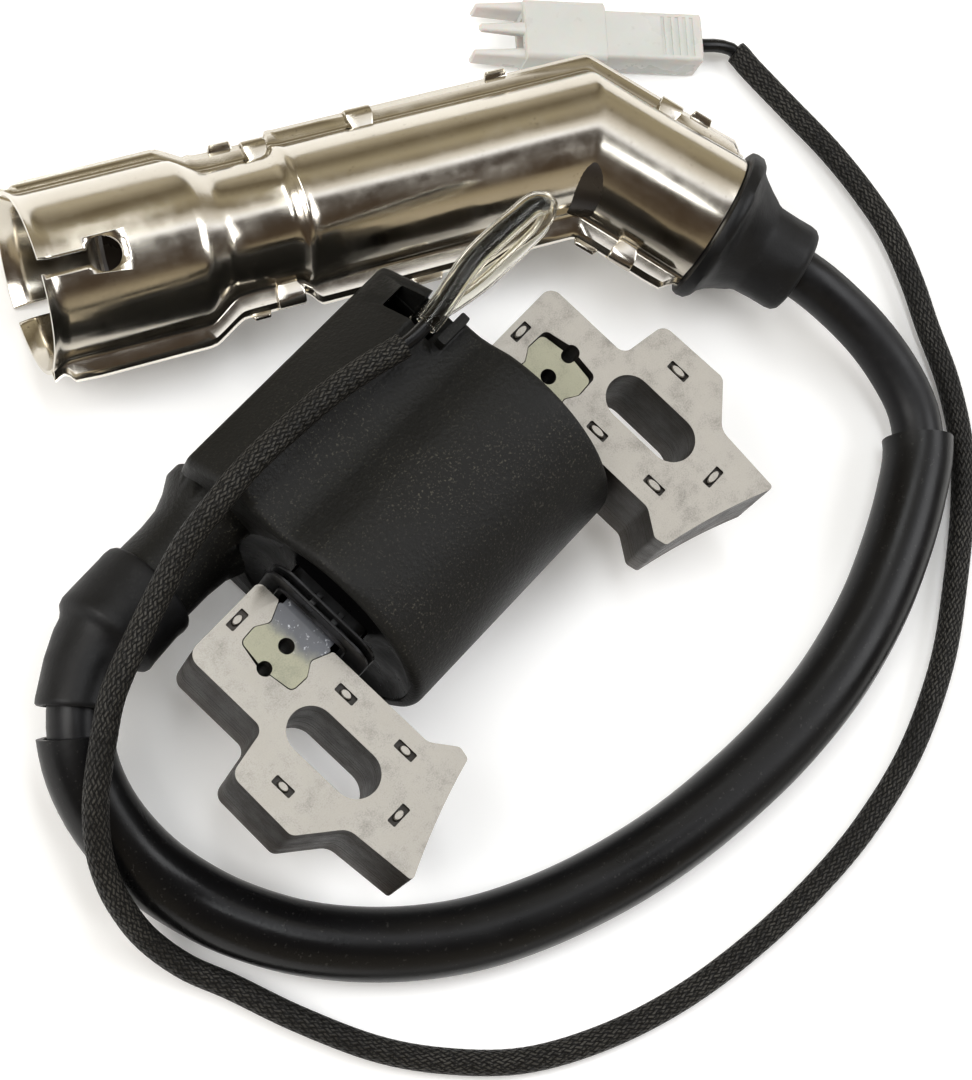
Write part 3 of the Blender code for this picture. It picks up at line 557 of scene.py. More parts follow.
connector = {"rear": (85.7, 11.5, 2.95), "heading": math.radians(135.4)}
connectorFrame = (Matrix.Translation(connector["rear"])
                  @ Matrix.Rotation(connector["heading"], 4, "Z"))
killPoints = [
    (16.8, 9.6, 25.4), (18.6, 9.2, 28.0), (20.8, 8.6, 29.5),
    (24.6, 7.9, 30.2), (28.5, 7.7, 30.4), (32.4, 7.6, 30.4),
    (36.0, 7.7, 30.6), (37.9, 8.5, 31.7), (36.4, 9.5, 33.2),
    (33.0, 9.8, 33.6), (29.2, 10.0, 33.7), (24.6, 10.0, 33.6),
    (20.8, 9.4, 33.4), (17.6, 8.8, 33.1), (12.0, 8.5, 32.4),
    (4.9, 10.0, 32.2), (-0.6, 10.9, 32.2), (-7.4, 11.4, 32.2),
    (-14.4, 11.6, 32.3), (-20.4, 11.2, 31.0), (-25.8, 10.6, 28.2),
    (-32.5, 8.7, 25.2), (-37.8, 6.9, 24.0), (-41.8, 5.5, 23.3),
    (-44.9, 4.1, 22.4), (-48.8, 1.4, 20.6), (-54.1, -2.9, 17.7),
    (-57.5, -7.2, 14.4), (-59.0, -10.7, 11.8), (-59.6, -13.8, 9.4),
    (-59.6, -18.6, 5.9), (-58.2, -24.7, 2.9), (-55.9, -30.6, 2.1),
    (-53.1, -39.2, 2.0), (-48.8, -49.4, 2.0), (-44.2, -56.4, 2.0),
    (-37.2, -63.9, 2.0), (-27.9, -69.7, 2.0), (-16.6, -74.1, 2.0),
    (-3.2, -76.9, 2.0), (10.7, -78.0, 2.0), (20.2, -77.6, 2.0),
    (30.9, -75.8, 2.0), (43.5, -71.2, 2.0), (53.8, -65.2, 2.0),
    (63.2, -58.8, 2.0), (69.4, -53.4, 2.0), (75.0, -46.2, 2.0),
    (79.1, -38.9, 2.0), (82.6, -33.0, 2.0), (85.8, -26.2, 2.0),
    (87.5, -19.6, 2.0), (88.6, -12.1, 2.0), (89.0, -3.9, 2.0),
    (89.4, 3.9, 2.0), (89.6, 7.4, 2.1), (88.3, 9.3, 2.5)]
killRoute = Route(killPoints)
wireRoute = Route(killPoints + [connectorFrame @ Vector((x, 0, 0)) for x in (-1.2, 3.0)])

killLead = {"wire": 0.95, "clearOuter": 1.6, "clearInner": 1.3, "braid": 1.66,
            "clearEnd": 48.4, "braidStart": 52.3, "bareEnd": 2.6, "wireStart": 24.0,
            "tailRadius": 0.42, "tailDrop": 0.5, "strands": 16, "lay": 1.5, "weave": 0.055}

wireFinish = Finish("wireInsulation", specular=0.22)
drawn = wireFinish.grain(300.0, 3.0)
wireFinish.surface("colour", wireFinish.blend(drawn, (0.002, 0.002, 0.0022),
                                             (0.006, 0.006, 0.0065)))
wireFinish.surface("roughness", drawn.steps(0.3, 0.7, 0.2, 0.36))
stations = [(killLead["wireStart"], 0.7),
            *even(killLead["wireStart"] + 0.3, wireRoute.length, 1.4, killLead["wire"])]
killWire = tube("stopWire", wireRoute, stations, wireFinish.material, sides=16)

# clear tubing bent double, with the bare joint's pale tail in its lower run
clearFinish = Finish("clearTubing", colour=(0.95, 0.94, 0.885), transmission=1.0, ior=1.16,
                     specular=0.12)
cloud = clearFinish.grain(160.0, 4.0)
clearFinish.surface("roughness", cloud.steps(0.45, 0.85, 0.0, 0.10))
clearFinish.bump(cloud, 0.12, 0.0002)
span = (0.0, killLead["clearEnd"], 0.8)
clearSleeve = tube("clearSleeve", killRoute, even(*span, killLead["clearOuter"]),
                   clearFinish.material, even(*span, killLead["clearInner"]), 28,
                   lambda d, a: 0.05 * noise.noise(Vector((d * 0.25, a, 0.0))))
tinnedFinish = Finish("tinnedWire", metallic=1.0, roughness=0.3)
twist = (tinnedFinish.uv("X") * 5.0 + tinnedFinish.uv("Y") * 2.0).fraction()
# each twisted strand is painted from dark to light across its width: painted shade and a painted
# highlight
tinnedFinish.surface("colour", tinnedFinish.blend(twist, (0.55, 0.52, 0.46), (0.8, 0.78, 0.72)))
tinnedFinish.bump(twist, 0.5, 0.0001)
# the tail lies low in the tubing up to the bend
drop = Vector((0, 0, killLead["tailDrop"]))
tailPoints = [Vector(p) - drop for p in killPoints[:8]] + killPoints[8:12]
paleTail = tube("tinnedTail", Route(tailPoints),
                even(0.4, killLead["wireStart"] + 2.0, 0.8, killLead["tailRadius"]),
                tinnedFinish.material, sides=12)


def weave(distance, angle):
    # two sets of strands cross over and under each other
    round_, along = angle * killLead["strands"] / math.tau, distance / killLead["lay"]
    first, second = round_ + along, round_ - along
    bulge = abs(math.cos(math.pi * first)), abs(math.cos(math.pi * second))
    over = 0.5 + 0.5 * math.cos(math.pi * (math.floor(first + 0.5) + math.floor(second + 0.5)))
    highest = max(bulge[0] * (0.6 + 0.4 * over), bulge[1] * (1.0 - 0.4 * over))
    return killLead["weave"] * highest - 0.03


braidFinish = Finish("varnishedBraid", specular=0.16)
u, v = braidFinish.uv("X"), braidFinish.uv("Y")
turns = v * (math.tau * killLead["braid"] / killLead["lay"])
leftHand, rightHand = u * killLead["strands"] + turns, u * killLead["strands"] - turns
over = ((leftHand - 0.5).math("FLOOR") + (rightHand - 0.5).math("FLOOR")).math("PINGPONG", 1.0)
fleckLeft = (leftHand * math.pi).math("COSINE").math("ABSOLUTE")
fleckRight = (rightHand * math.pi).math("COSINE").math("ABSOLUTE")
ridge = fleckLeft * over + fleckRight * (1 - over)
hair = braidFinish.grain(2600.0, 3.0)
glint = ridge.steps(0.6, 0.97) * hair.steps(0.36, 0.58)
patch = braidFinish.grain(70.0, 3.0)
braidFinish.surface("colour", braidFinish.blend(glint * patch.steps(0.3, 0.6, 0.35, 0.9),
                                                (0.0035, 0.0033, 0.003), (0.055, 0.052, 0.045)))
braidFinish.surface("roughness", ridge.steps(0.2, 1.0, 0.75, 0.42))
braidFinish.bump(ridge * 0.8 + hair * 0.4, 0.55, 0.00022)
braidEnd = killRoute.length - killLead["bareEnd"]
stations = [(killLead["braidStart"], 1.25),
            *even(killLead["braidStart"] + 0.15, braidEnd - 0.15, 0.24, killLead["braid"]),
            (braidEnd, 1.3)]
braid = tube("braidedSleeve", killRoute, stations, braidFinish.material, sides=60,
             relief=weave, smooth=80)
print("leads are made")


class Repeater(Nodes):
    # a geometry tree with named inputs that ends in realized instances and one material
    def __init__(self, name, inputs):
        tree = bpy.data.node_groups.new(name, "GeometryNodeTree")
        super().__init__(tree)
        tree.interface.new_socket("Geometry", in_out="OUTPUT", socket_type="NodeSocketGeometry")
        names = {"Geometry": "NodeSocketGeometry", "Material": "NodeSocketMaterial", **inputs}
        self.ids = {label: tree.interface.new_socket(label, in_out="INPUT", socket_type=kind)
                    .identifier for label, kind in names.items()}
        self.start = tree.nodes.new("NodeGroupInput")
        self.end = tree.nodes.new("NodeGroupOutput")

    def given(self, label):
        return Wire(self, self.start.outputs[label])

    def row(self, count, axis):
        # points one pitch apart along an axis
        return self.node("GeometryNodeMeshLine", {"mode": "OFFSET"},
                         {"Count": self.given(count),
                          "Offset": self.vector(**{axis: self.given("Pitch")})})

    def close(self, instances):
        real = self.node("GeometryNodeRealizeInstances", None, {0: instances})
        painted = self.node("GeometryNodeSetMaterial", None,
                            {"Geometry": real, "Material": self.given("Material")})
        self.feed(self.end.inputs[0], painted)

    def run(self, item, **values):
        modifier = item.modifiers.new(self.tree.name, "NODES")
        modifier.node_group = self.tree
        for label, value in values.items():
            modifier[self.ids[label]] = value
        return applied(item)


# sheets laid on each other, each a hair out of line
stacker = Repeater("sheetStack", {"Sheets": "NodeSocketInt", "Pitch": "NodeSocketFloat",
                                  "Misfit": "NodeSocketFloat"})
copies = stacker.node("GeometryNodeInstanceOnPoints", None,
                      {"Points": stacker.row("Sheets", "z"),
                       "Instance": stacker.given("Geometry")})
misfit = stacker.given("Misfit")
slip = stacker.node("FunctionNodeRandomValue", {"data_type": "FLOAT_VECTOR"},
                    {0: stacker.vector(0 - misfit, 0 - misfit),
                     1: stacker.vector(misfit, misfit), "Seed": 4})
stacker.close(stacker.node("GeometryNodeTranslateInstances", None,
                           {"Instances": copies, "Translation": slip}))

# staked dimples on points that carry their own turn
staker = Repeater("stakes", {"Length": "NodeSocketFloat", "Width": "NodeSocketFloat",
                             "Depth": "NodeSocketFloat"})
cone = staker.node("GeometryNodeMeshCone", None, {"Vertices": 12, "Radius Top": 0.80,
                                                  "Radius Bottom": 1.05, "Depth": 1.0})
size = staker.vector(staker.given("Length") * 0.5, staker.given("Width") * 0.5,
                     staker.given("Depth"))
stake = staker.node("GeometryNodeTransform", None, {"Geometry": cone, "Scale": size})
heading = staker.node("GeometryNodeInputNamedAttribute", {"data_type": "FLOAT"},
                      {"Name": "turn"})
spin = staker.node("FunctionNodeEulerToRotation", None, {0: staker.vector(z=heading)})
staker.close(staker.node("GeometryNodeInstanceOnPoints", None,
                         {"Points": staker.given("Geometry"), "Instance": stake,
                          "Rotation": spin}))

# thin flanges or ribs in a row along the bobbin
ribber = Repeater("ribRow", {"Ribs": "NodeSocketInt", "Pitch": "NodeSocketFloat"})
ribber.close(ribber.node("GeometryNodeInstanceOnPoints", None,
                         {"Points": ribber.row("Ribs", "x"),
                          "Instance": ribber.given("Geometry")}))


core = {"low": 9.3, "thick": 13.4, "sheets": 27, "sheet": 0.482, "misfit": 0.012,
        "barY": -6.55, "slot": (30.6, -16.0, -23.4, 3.2), "flywheel": (90.0, -120.1),
        "pole": (19.4, 35.5), "stakeWidth": 1.02, "stakeDepth": 0.5}
# place and turn of the staked dimples on the right leg
stakes = [(26.9, 0.0, 0), (24.2, -15.9, 90), (24.2, -25.9, 90), (38.1, -18.1, 90),
          (30.7, -30.7, 0)]


def steelFinish(name, light, dark, edge):
    finish = Finish(name)
    z = finish.along("Z")
    # only the top and bottom faces take the mottled steel colour; everything below the top face
    # takes the dark side colour, so the floors of the stake pockets are painted dark as painted
    # shade
    face = (z > (core["low"] + core["thick"] - 0.09) * mm) + (z < (core["low"] + 0.09) * mm)
    mottle = finish.grain(260.0, 6.0, 0.7)
    rolled = finish.grain(5200.0, 2.0)
    blotch = finish.grain(90.0, 3.0)
    top = finish.ramp(mottle * 0.62 + rolled * 0.26 + blotch * 0.12,
                      [(0.30, dark), (0.5, light), (0.72, tuple(c * 1.16 for c in light))])
    sheetTone = finish.grain(1.0, 2.0, where=finish.stretch(30.0, 30.0, 3600.0))
    # painted light: the sides are painted lighter towards the bottom, near the bright floor
    low = z.steps(core["low"] * mm, (core["low"] + 7) * mm, 1.7, 0.9)
    side = finish.ramp(sheetTone * 0.6 + mottle * 0.4,
                       [(0.30, tuple(c * 0.5 for c in edge)), (0.55, edge),
                        (0.75, tuple(c * 2.0 for c in edge))])
    side = finish.blend(low - 0.9, side, tuple(c * 2.6 for c in edge))
    finish.surface("colour", finish.blend(face, side, top))
    finish.surface("metallic", face * 0.35 + 0.35)
    finish.surface("roughness", mottle.steps(0.3, 0.7, 0.36, 0.55))
    finish.bump(mottle * 0.5 + rolled * 0.35 + sheetTone * (1 - face) * 0.5, 0.35, 0.00012)
    return finish, face


legFinish = steelFinish("coreSteel", (0.34, 0.322, 0.29), (0.155, 0.145, 0.128),
                        (0.022, 0.018, 0.014))[0]
barFinish, face = steelFinish("barSteel", (0.28, 0.275, 0.205), (0.15, 0.148, 0.11),
                              (0.020, 0.017, 0.013))
# varnish that has crept along the bar out of the coil, bluish and blotched
reach = barFinish.along("X") + barFinish.grain(240.0, 4.0) * 0.0042
creep = reach.steps(-0.0352, -0.0328) * (barFinish.along("X") < 0.0)
fleck = barFinish.grain(1500.0, 3.0).steps(0.60, 0.72)
film = barFinish.blend(fleck, (0.055, 0.06, 0.085), (0.42, 0.43, 0.47))
under = barFinish.shader.inputs["Base Color"].links[0].from_socket
barFinish.surface("colour", barFinish.blend(creep * face * 0.85, Wire(barFinish, under), film))
barFinish.surface("coat", creep * 0.8)


def legOutline(loose):
    # loose is the play left at the end of the bar's head
    y, end = core["barY"], 29.15 + loose
    radius, centre = core["flywheel"]
    inside, outside = core["pole"]

    def pole(x):
        return Vector((x, centre + math.sqrt(radius ** 2 - x ** 2)))

    outline = roundedOutline([
        (21.4, y + 4.62, 0), (21.4, 1.4, 0.9), (34.5, 1.4, 1.7), (34.6, -11.5, 1.5),
        (41.5, -12.6, 1.6), (41.85, -22.9, 1.3), (36.3, -27.4, 2.4),
        (outside, pole(outside).y, 0.5), (34.0, pole(34.0).y, 0)])[:-1]
    outline += [pole(outside - 1.4 - (outside - inside - 2.6) * k / 10) for k in range(11)]
    half = 1.05
    notch = [(*outline[-1], 0), (inside, pole(inside).y, 0.6), (19.0, -30.5, 0.9),
             (21.4, -27.2, 1.8), (21.4, y - 4.62, 0.35), (24.2, y - 3.45, 0.8),
             (26.1, y - 4.55, 0.9), (28.75 + loose, y - 4.4, 0.9), (end, y - half, 0)]
    points = outline + roundedOutline([*notch, (end, y, 0)])[1:-1]
    points += arc(end - 0.25, y, 1.08, -1.05, 1.05, 10)
    rest = [(end, y, 0), (end, y + half, 0), (28.75 + loose, y + 4.4, 0.9),
            (26.1, y + 4.55, 0.9), (24.2, y + 3.45, 0.8), (21.4, y + 4.62, 0.35),
            (21.4, y + 5.2, 0)]
    return points + roundedOutline(rest)[2:-1]


def barOutline():
    y = core["barY"]
    half = [(21.4, 4.5, 0.35), (24.2, 3.33, 0.8), (26.0, 4.43, 0.8), (28.6, 4.28, 0.8),
            (29.05, 1.0, 0)]
    lower = [(x, y - h, r) for x, h, r in half]
    upper = [(x, y + h, r) for x, h, r in reversed(half)]
    ends = [Vector((29.05, y - 1.0))] + arc(28.95, y, 0.95, -1.6, -4.7, 12)
    right = roundedOutline([*lower, *upper])
    split = next(k for k, p in enumerate(right) if p.y > y)
    right = right[:split] + ends[1:] + right[split:]
    left = [Vector((-p.x, p.y)) for p in reversed(right)]
    return right + left


def stack(name, outline, holes, pockets, finish):
    pitch = core["thick"] / core["sheets"]
    second = core["low"] + pitch
    item = mesh(name, plate(outline, (second, second + core["sheet"]), holes), finish.material)
    stacker.run(item, Sheets=core["sheets"] - 2, Pitch=pitch * mm, Misfit=core["misfit"] * mm,
                Material=finish.material)
    covers = []
    for level in (core["low"], core["low"] + pitch * (core["sheets"] - 1)):
        bm = plate(outline, (level + 0.01, level + pitch - 0.006), [*holes, *pockets])
        covers.append(softened(mesh("cover", bm, finish.material), 0.07, 1, 50))
    return joined(item, covers)


def legStack(name, side, loose, stakeLength):
    def turned(points):
        return [Vector((side * p.x, p.y)) for p in points]

    x, high, low, radius = core["slot"]
    slot = arc(x, high, radius, 0, math.pi, 20) + arc(x, low, radius, math.pi, math.tau, 20)
    pockets = []
    bm = bmesh.new()
    layer = bm.verts.layers.float.new("turn")
    for px, py, degrees in stakes:
        wide, tall = (3.0, 1.25) if degrees == 0 else (1.25, 3.0)
        pockets.append(turned(rectangle(px, py, wide, tall, 0.2)))
        spot = bm.verts.new((side * px, py, core["low"] + core["thick"] - 0.33))
        spot[layer] = math.radians(degrees)
    item = stack(name, turned(legOutline(loose)), [turned(slot)], pockets, legFinish)
    dots = mesh("dots", bm, legFinish.material)
    staker.run(dots, Length=stakeLength * mm, Width=core["stakeWidth"] * mm,
               Depth=core["stakeDepth"] * mm, Material=legFinish.material)
    return joined(item, [dots])


fit(legStack("leftLeg", -1, 0.0, 1.7), "coil", "silicon_steel", "left_leg_stack")
fit(legStack("rightLeg", 1, 0.75, 2.35), "coil", "silicon_steel", "right_leg_stack")
rivets = [circle(x, core["barY"], 1.05, 24) for x in (-25.0, 25.0)]
fit(stack("coreBar", barOutline(), rivets, [], barFinish), "coil", "silicon_steel",
    "core_bar_stack")
print("laminated core is stacked")


housing = {"cupY": -7.1, "mid": 16.0, "radius": 16.0, "wall": 1.7, "left": -17.2, "right": 20.2,
           "tower": 18.4, "ridge": (10.6, 29.6), "nozzle": (11.1, 14.0), "nozzleRadius": 5.95,
           "nozzleEnd": -34.0, "leadBore": 3.95, "notchX": (14.8, 18.6), "notchY": (7.2, 14.6),
           "floor": 23.0, "cavityWall": 1.9, "barHole": (9.7, 14.0)}


def housingProfile(inset=0.0):
    # the round cup runs into the tower beside it; the inset draws every wall inwards
    y, z, radius = housing["cupY"], housing["mid"], housing["radius"] - inset
    profile = arc(y, z, radius, math.radians(68), 1.5 * math.pi, 60)
    valley = arc(y, z, radius, math.radians(50), 1, 1)[0]
    wall, (peakY, peakZ) = housing["tower"] - inset, housing["ridge"]
    corners = [(*profile[-1], 0), (13.4 - 0.5 * inset, inset, 1.4),
               (wall, 5.8 + 0.4 * inset, 1.6), (wall, 23.6 - 0.5 * inset, 1.6),
               (peakY, peakZ - 1.3 * inset, 0.8), (8.0, 28.4 - inset, 0.5), (*valley, 6.0),
               (*profile[0], 0)]
    return profile + roundedOutline(corners, 22)[1:-1]


mouldFinish = Finish("blackMoulding", specular=0.2)
speck = mouldFinish.grain(3300.0, 2.0, 0.6)
grit = mouldFinish.cells(1500.0)
cloudy = mouldFinish.grain(55.0, 4.0)
upper = mouldFinish.facing("Z").steps(0.1, 0.9)
# pale specks only on upward faces: partly dust, partly painted glints of light
dustAndGlint = speck.steps(0.56, 0.74) * cloudy.steps(0.4, 0.65, 0.1, 1.0) * upper
mouldFinish.surface("colour", mouldFinish.blend(dustAndGlint * 0.7, mouldFinish.blend(
    cloudy, (0.0035, 0.0035, 0.0033), (0.0075, 0.0074, 0.0066)), (0.085, 0.08, 0.062)))
mouldFinish.surface("roughness", cloudy.steps(0.3, 0.7, 0.44, 0.6))
mouldFinish.bump(speck * 0.6 + grit * 0.35 + cloudy * 0.3, 0.5, 0.00022)

left, right = housing["left"], housing["right"]
steps = [(left, 1.1), (left + 0.1, 0.65), (left + 0.4, 0.28), (left + 0.8, 0.07),
         (left + 1.3, 0.0)]
steps += [(x, 0.0) for x in spread(left + 3.0, right - 1.2, 3.0)]
steps += [(right - 0.6, 0.05), (right - 0.25, 0.2), (right, 0.55)]
walls = [[(x, p.x, p.y) for p in housingProfile(inset)] for x, inset in steps]
coilHousing = mesh("coilHousing", skin(walls), mouldFinish.material)


def turnedX(profile, y, z, sides=48):
    # a round body about an axis along X, from (x, radius) pairs
    return skin([[(x, p.x, p.y) for p in circle(y, z, radius, sides)] for x, radius in profile])


def blockX(x, y, z, radius=0.3):
    # a block between two places on each axis
    return plate(rectangle(sum(x) / 2, sum(y) / 2, x[1] - x[0], y[1] - y[0], radius), z)


tip, wide = housing["nozzleEnd"], housing["nozzleRadius"]
nozzle = [(tip, wide - 0.35), (tip + 0.4, wide), (-24.5, wide), (-21.5, wide + 0.3),
          (-19.2, 7.1), (-17.0, 8.4), (-15.5, 8.4)]
cut(coilHousing, turnedX(nozzle, *housing["nozzle"]), "UNION")
cut(coilHousing, blockX((15.0, 20.0), (5.2, 6.5), (24.0, 30.6)), "UNION")
y, z, radius = housing["cupY"], housing["mid"], housing["radius"] - housing["wall"]
cut(coilHousing, turnedX([(left - 2.0, radius), (right - housing["wall"], radius)], y, z, 96))
cut(coilHousing, turnedX([(x, housing["leadBore"]) for x in (tip - 1.0, -19.0)],
                         *housing["nozzle"]))
cut(coilHousing, plate(housingProfile(housing["cavityWall"]), (-15.4, 18.4), alongX=True))
barHole = rectangle(core["barY"], z, *housing["barHole"], 0.4)
cut(coilHousing, plate(barHole, (right - 3.0, right + 1.0), alongX=True))
cut(coilHousing, blockX(housing["notchX"], housing["notchY"], (housing["floor"], 34.0)))
cut(coilHousing, blockX((18.0, right + 1.0), (6.5, 11.2), (25.6, 34.0)))
softened(coilHousing, 0.28, 2, 35)
fit(coilHousing, "coil", "black_moulding", "coil_housing")

epoxyFinish = Finish("pottingEpoxy", specular=0.06)
pool = epoxyFinish.grain(130.0, 4.0)
bubble = epoxyFinish.cells(900.0)
epoxyFinish.surface("colour", epoxyFinish.blend(pool, (0.0012, 0.0012, 0.0013),
                                               (0.003, 0.003, 0.0033)))
epoxyFinish.surface("roughness", pool.steps(0.3, 0.7, 0.22, 0.45))
epoxyFinish.bump(pool * 1.2 + bubble.steps(0.0, 0.16) * 0.35, 0.5, 0.0004)

# the fill creeps up the cup's wall (x, radius) and the bobbin's tube (x, distance from it)
filling = {"cup": ((-14.9, 14.0), (-16.9, 14.2), (-16.6, 13.6), (-16.1, 12.6), (-15.9, 11.2)),
           "tube": ((-16.0, 3.2), (-16.3, 1.4), (-16.9, 0.35), (-14.9, 0.3)),
           "tubeHalf": (5.75, 7.9), "sides": 72, "ripple": 0.12}
rings = []
for x, radius in filling["cup"]:
    rings.append([(x + filling["ripple"] * noise.noise(Vector((p.x, p.y, 0)) * 0.4), p.x, p.y)
                  for p in circle(y, z, radius, filling["sides"])])
wide, tall = filling["tubeHalf"]
for x, grow in filling["tube"]:
    rings.append([])
    for way in circle(0, 0, 1, filling["sides"]):
        reach = 1 / max(abs(way.x) / (wide + grow), abs(way.y) / (tall + grow))
        rings[-1].append((x, core["barY"] + way.x * reach, z + way.y * reach))
fit(mesh("pottingFill", skin(rings, closed=True), epoxyFinish.material), "coil", "black_epoxy",
    "potting_fill")

# primary bobbin: a square tube with a row of thin flanges at the open end
bobbin = {"tube": (11.5, 15.8), "bore": (9.75, 14.05), "span": (-20.6, 18.2), "flanges": 2,
          "pitch": 1.2, "flange": 0.4, "edge": (17.0, 20.4), "start": -20.3, "spokes": 12}
bobbinFinish = Finish("bobbinNylon", specular=0.3)
smear = bobbinFinish.grain(190.0, 5.0)
bobbinFinish.surface("colour", bobbinFinish.blend(smear.steps(0.52, 0.72), (0.0075, 0.0075, 0.008),
                                                 (0.03, 0.031, 0.036)))
bobbinFinish.surface("roughness", smear.steps(0.3, 0.7, 0.22, 0.5))
bobbinFinish.bump(smear, 0.4, 0.0003)
bore = rectangle(core["barY"], z, *bobbin["bore"], 0.3)
bm = plate(rectangle(core["barY"], z, *bobbin["tube"], 1.5), bobbin["span"], [bore], alongX=True)
primaryBobbin = softened(mesh("primaryBobbin", bm, bobbinFinish.material), 0.15, 1)
hole = rectangle(core["barY"], z, *(side + 0.2 for side in bobbin["tube"]), 1.5)
edge = rectangle(-7.0, z, *bobbin["edge"], 3.0)
bm = plate(edge, (bobbin["start"], bobbin["start"] + bobbin["flange"]), [hole], alongX=True)
flanges = softened(mesh("flanges", bm, bobbinFinish.material), 0.08, 1)
ribber.run(flanges, Ribs=bobbin["flanges"], Pitch=bobbin["pitch"] * mm,
           Material=bobbinFinish.material)
bm = bmesh.new()
for spoke in range(bobbin["spokes"]):
    angle = math.tau * (spoke + 0.5) / bobbin["spokes"]
    post = rectangle(-7.0 + 6.9 * math.cos(angle), z + 9.0 * math.sin(angle), 1.0, 1.0, 0.2)
    plate(post, (-20.2, -17.9), alongX=True, bm=bm)
joined(primaryBobbin, [flanges, mesh("spokes", bm, bobbinFinish.material)])
fit(primaryBobbin, "coil", "bobbin_nylon", "primary_bobbin")
print("housing, bobbin and filling are made")


rubberFinish = Finish("blackRubber", specular=0.22)
bloom = rubberFinish.grain(120.0, 5.0)
fine = rubberFinish.grain(2400.0, 2.0)
rubberFinish.surface("colour", rubberFinish.ramp(bloom * 0.75 + fine * 0.25, [
    (0.35, (0.003, 0.003, 0.0033)), (0.6, (0.006, 0.006, 0.0065)), (0.78, (0.02, 0.02, 0.02))]))
rubberFinish.surface("roughness", bloom.steps(0.3, 0.7, 0.38, 0.62))
rubberFinish.bump(bloom * 0.8 + fine * 0.3, 0.35, 0.00025)

outer = [(7.3, 6.2), (7.4, 6.6), (7.8, 6.85), (8.6, 6.95), (9.6, 6.85), (14.6, 6.9),
         (15.6, 6.98), (16.2, 6.8), (16.7, 6.2), (17.3, 5.75), (18.6, 5.45), (21.5, 5.1),
         (24.6, 4.85), (25.3, 4.95), (25.8, 4.95), (26.0, 4.75)]
inner = [(7.3, 6.02), (12.8, 6.02), (13.0, 3.6), (24.0, 3.6), (26.0, 4.05)]


def bootRelief(distance, angle):
    spot = Vector((distance * 0.3, math.cos(angle) * 1.5, math.sin(angle) * 1.5))
    lump = 0.10 * noise.noise(spot)
    crease = 0.12 * math.exp(-((distance - 19.0) / 0.9) ** 2) * math.cos(angle * 2)
    return lump - crease


towerBoot = tube("towerBoot", leadRoute, outer, rubberFinish.material, inner, 56, bootRelief)
fit(towerBoot, "coil", "black_rubber", "tower_boot")


def capTurned(name, outer, inner, material, sides=64, relief=None, smooth=40):
    rings = []
    for s, radius in outer:
        rings.append([])
        for k in range(sides):
            angle = math.tau * k / sides
            reach = radius + (relief(s, angle) if relief else 0.0)
            rings[-1].append(capSpot(s, reach * math.cos(angle), reach * math.sin(angle)))
    for s, radius in reversed(inner):
        rings.append([capSpot(s, p.x, p.y) for p in circle(0, 0, radius, sides)])
    return mesh(name, skin(rings, closed=True), material, smooth, capFrame)


def gripRelief(s, angle):
    # moulded ribs on the collar and a slack, wrinkled flange
    wrinkle = 0.22 * noise.noise(Vector((s * 0.35, math.cos(angle) * 2.2, math.sin(angle) * 2.2)))
    ribs = 0.16 * max(0.0, math.cos(angle * 6 + 0.4)) if 27.6 < s < 33.6 else 0.0
    return wrinkle * (1.0 if s < 27 else 0.35) + ribs


outer = [(14.3, 8.1), (20.65, 8.2), (20.7, 10.2), (20.95, 10.65), (21.5, 10.8), (22.4, 10.75),
         (22.9, 10.3), (23.3, 9.4), (24.2, 8.6), (25.6, 7.65), (26.8, 6.95), (27.4, 6.6),
         (28.0, 6.4), (30.5, 6.3), (32.8, 6.3), (33.6, 6.15), (34.1, 5.75), (34.3, 5.2)]
inner = [(14.3, 3.85), (33.4, 3.62), (34.3, 4.1)]
capBoot = capTurned("capBoot", outer, inner, rubberFinish.material, relief=gripRelief)
fit(capBoot, "plug_cap", "black_rubber", "cap_boot")
print("rubber boots are made")


shield = {"sheet": 0.55, "seam": 0.12, "fold": 10.0, "crease": 0.7, "dents": 0.05,
          "slot": (1.0, -69.4, 2.3, -1.2)}
# place along the axis, radius, flange width
shieldStations = [
    (-78.0, 12.0, 0.5), (-77.7, 11.85, 0.5), (-77.2, 11.5, 0.6), (-76.6, 11.2, 0.7),
    (-76.0, 11.05, 1.2), (-75.4, 11.0, 2.1), (-72.0, 11.0, 2.3), (-66.0, 11.0, 2.3),
    (-60.0, 11.0, 2.3), (-57.2, 11.0, 2.3), (-56.3, 10.85, 2.3), (-55.5, 10.4, 2.35),
    (-53.4, 9.05, 2.5), (-52.6, 8.6, 2.5), (-51.9, 8.4, 2.4), (-50.5, 8.33, 2.4),
    (-47.0, 8.32, 2.4), (-44.2, 8.34, 2.3), (-43.5, 8.42, 1.6), (-43.0, 8.62, 0.9),
    (-42.5, 9.1, 0.8), (-42.1, 9.38, 1.0), (-41.7, 9.42, 1.6), (-41.2, 9.28, 2.2),
    (-40.4, 9.2, 2.3), (-34.0, 9.2, 2.3), (-26.0, 9.17, 2.3), (-18.0, 9.14, 2.3),
    (-12.0, 9.1, 2.3), (-8.0, 9.1, 2.3), (8.0, 9.15, 2.3), (12.0, 9.25, 2.3),
    (16.0, 9.35, 2.3), (18.4, 9.4, 2.2), (19.2, 9.4, 1.2), (19.9, 9.4, 0.5),
    (20.5, 9.38, 0.4)]


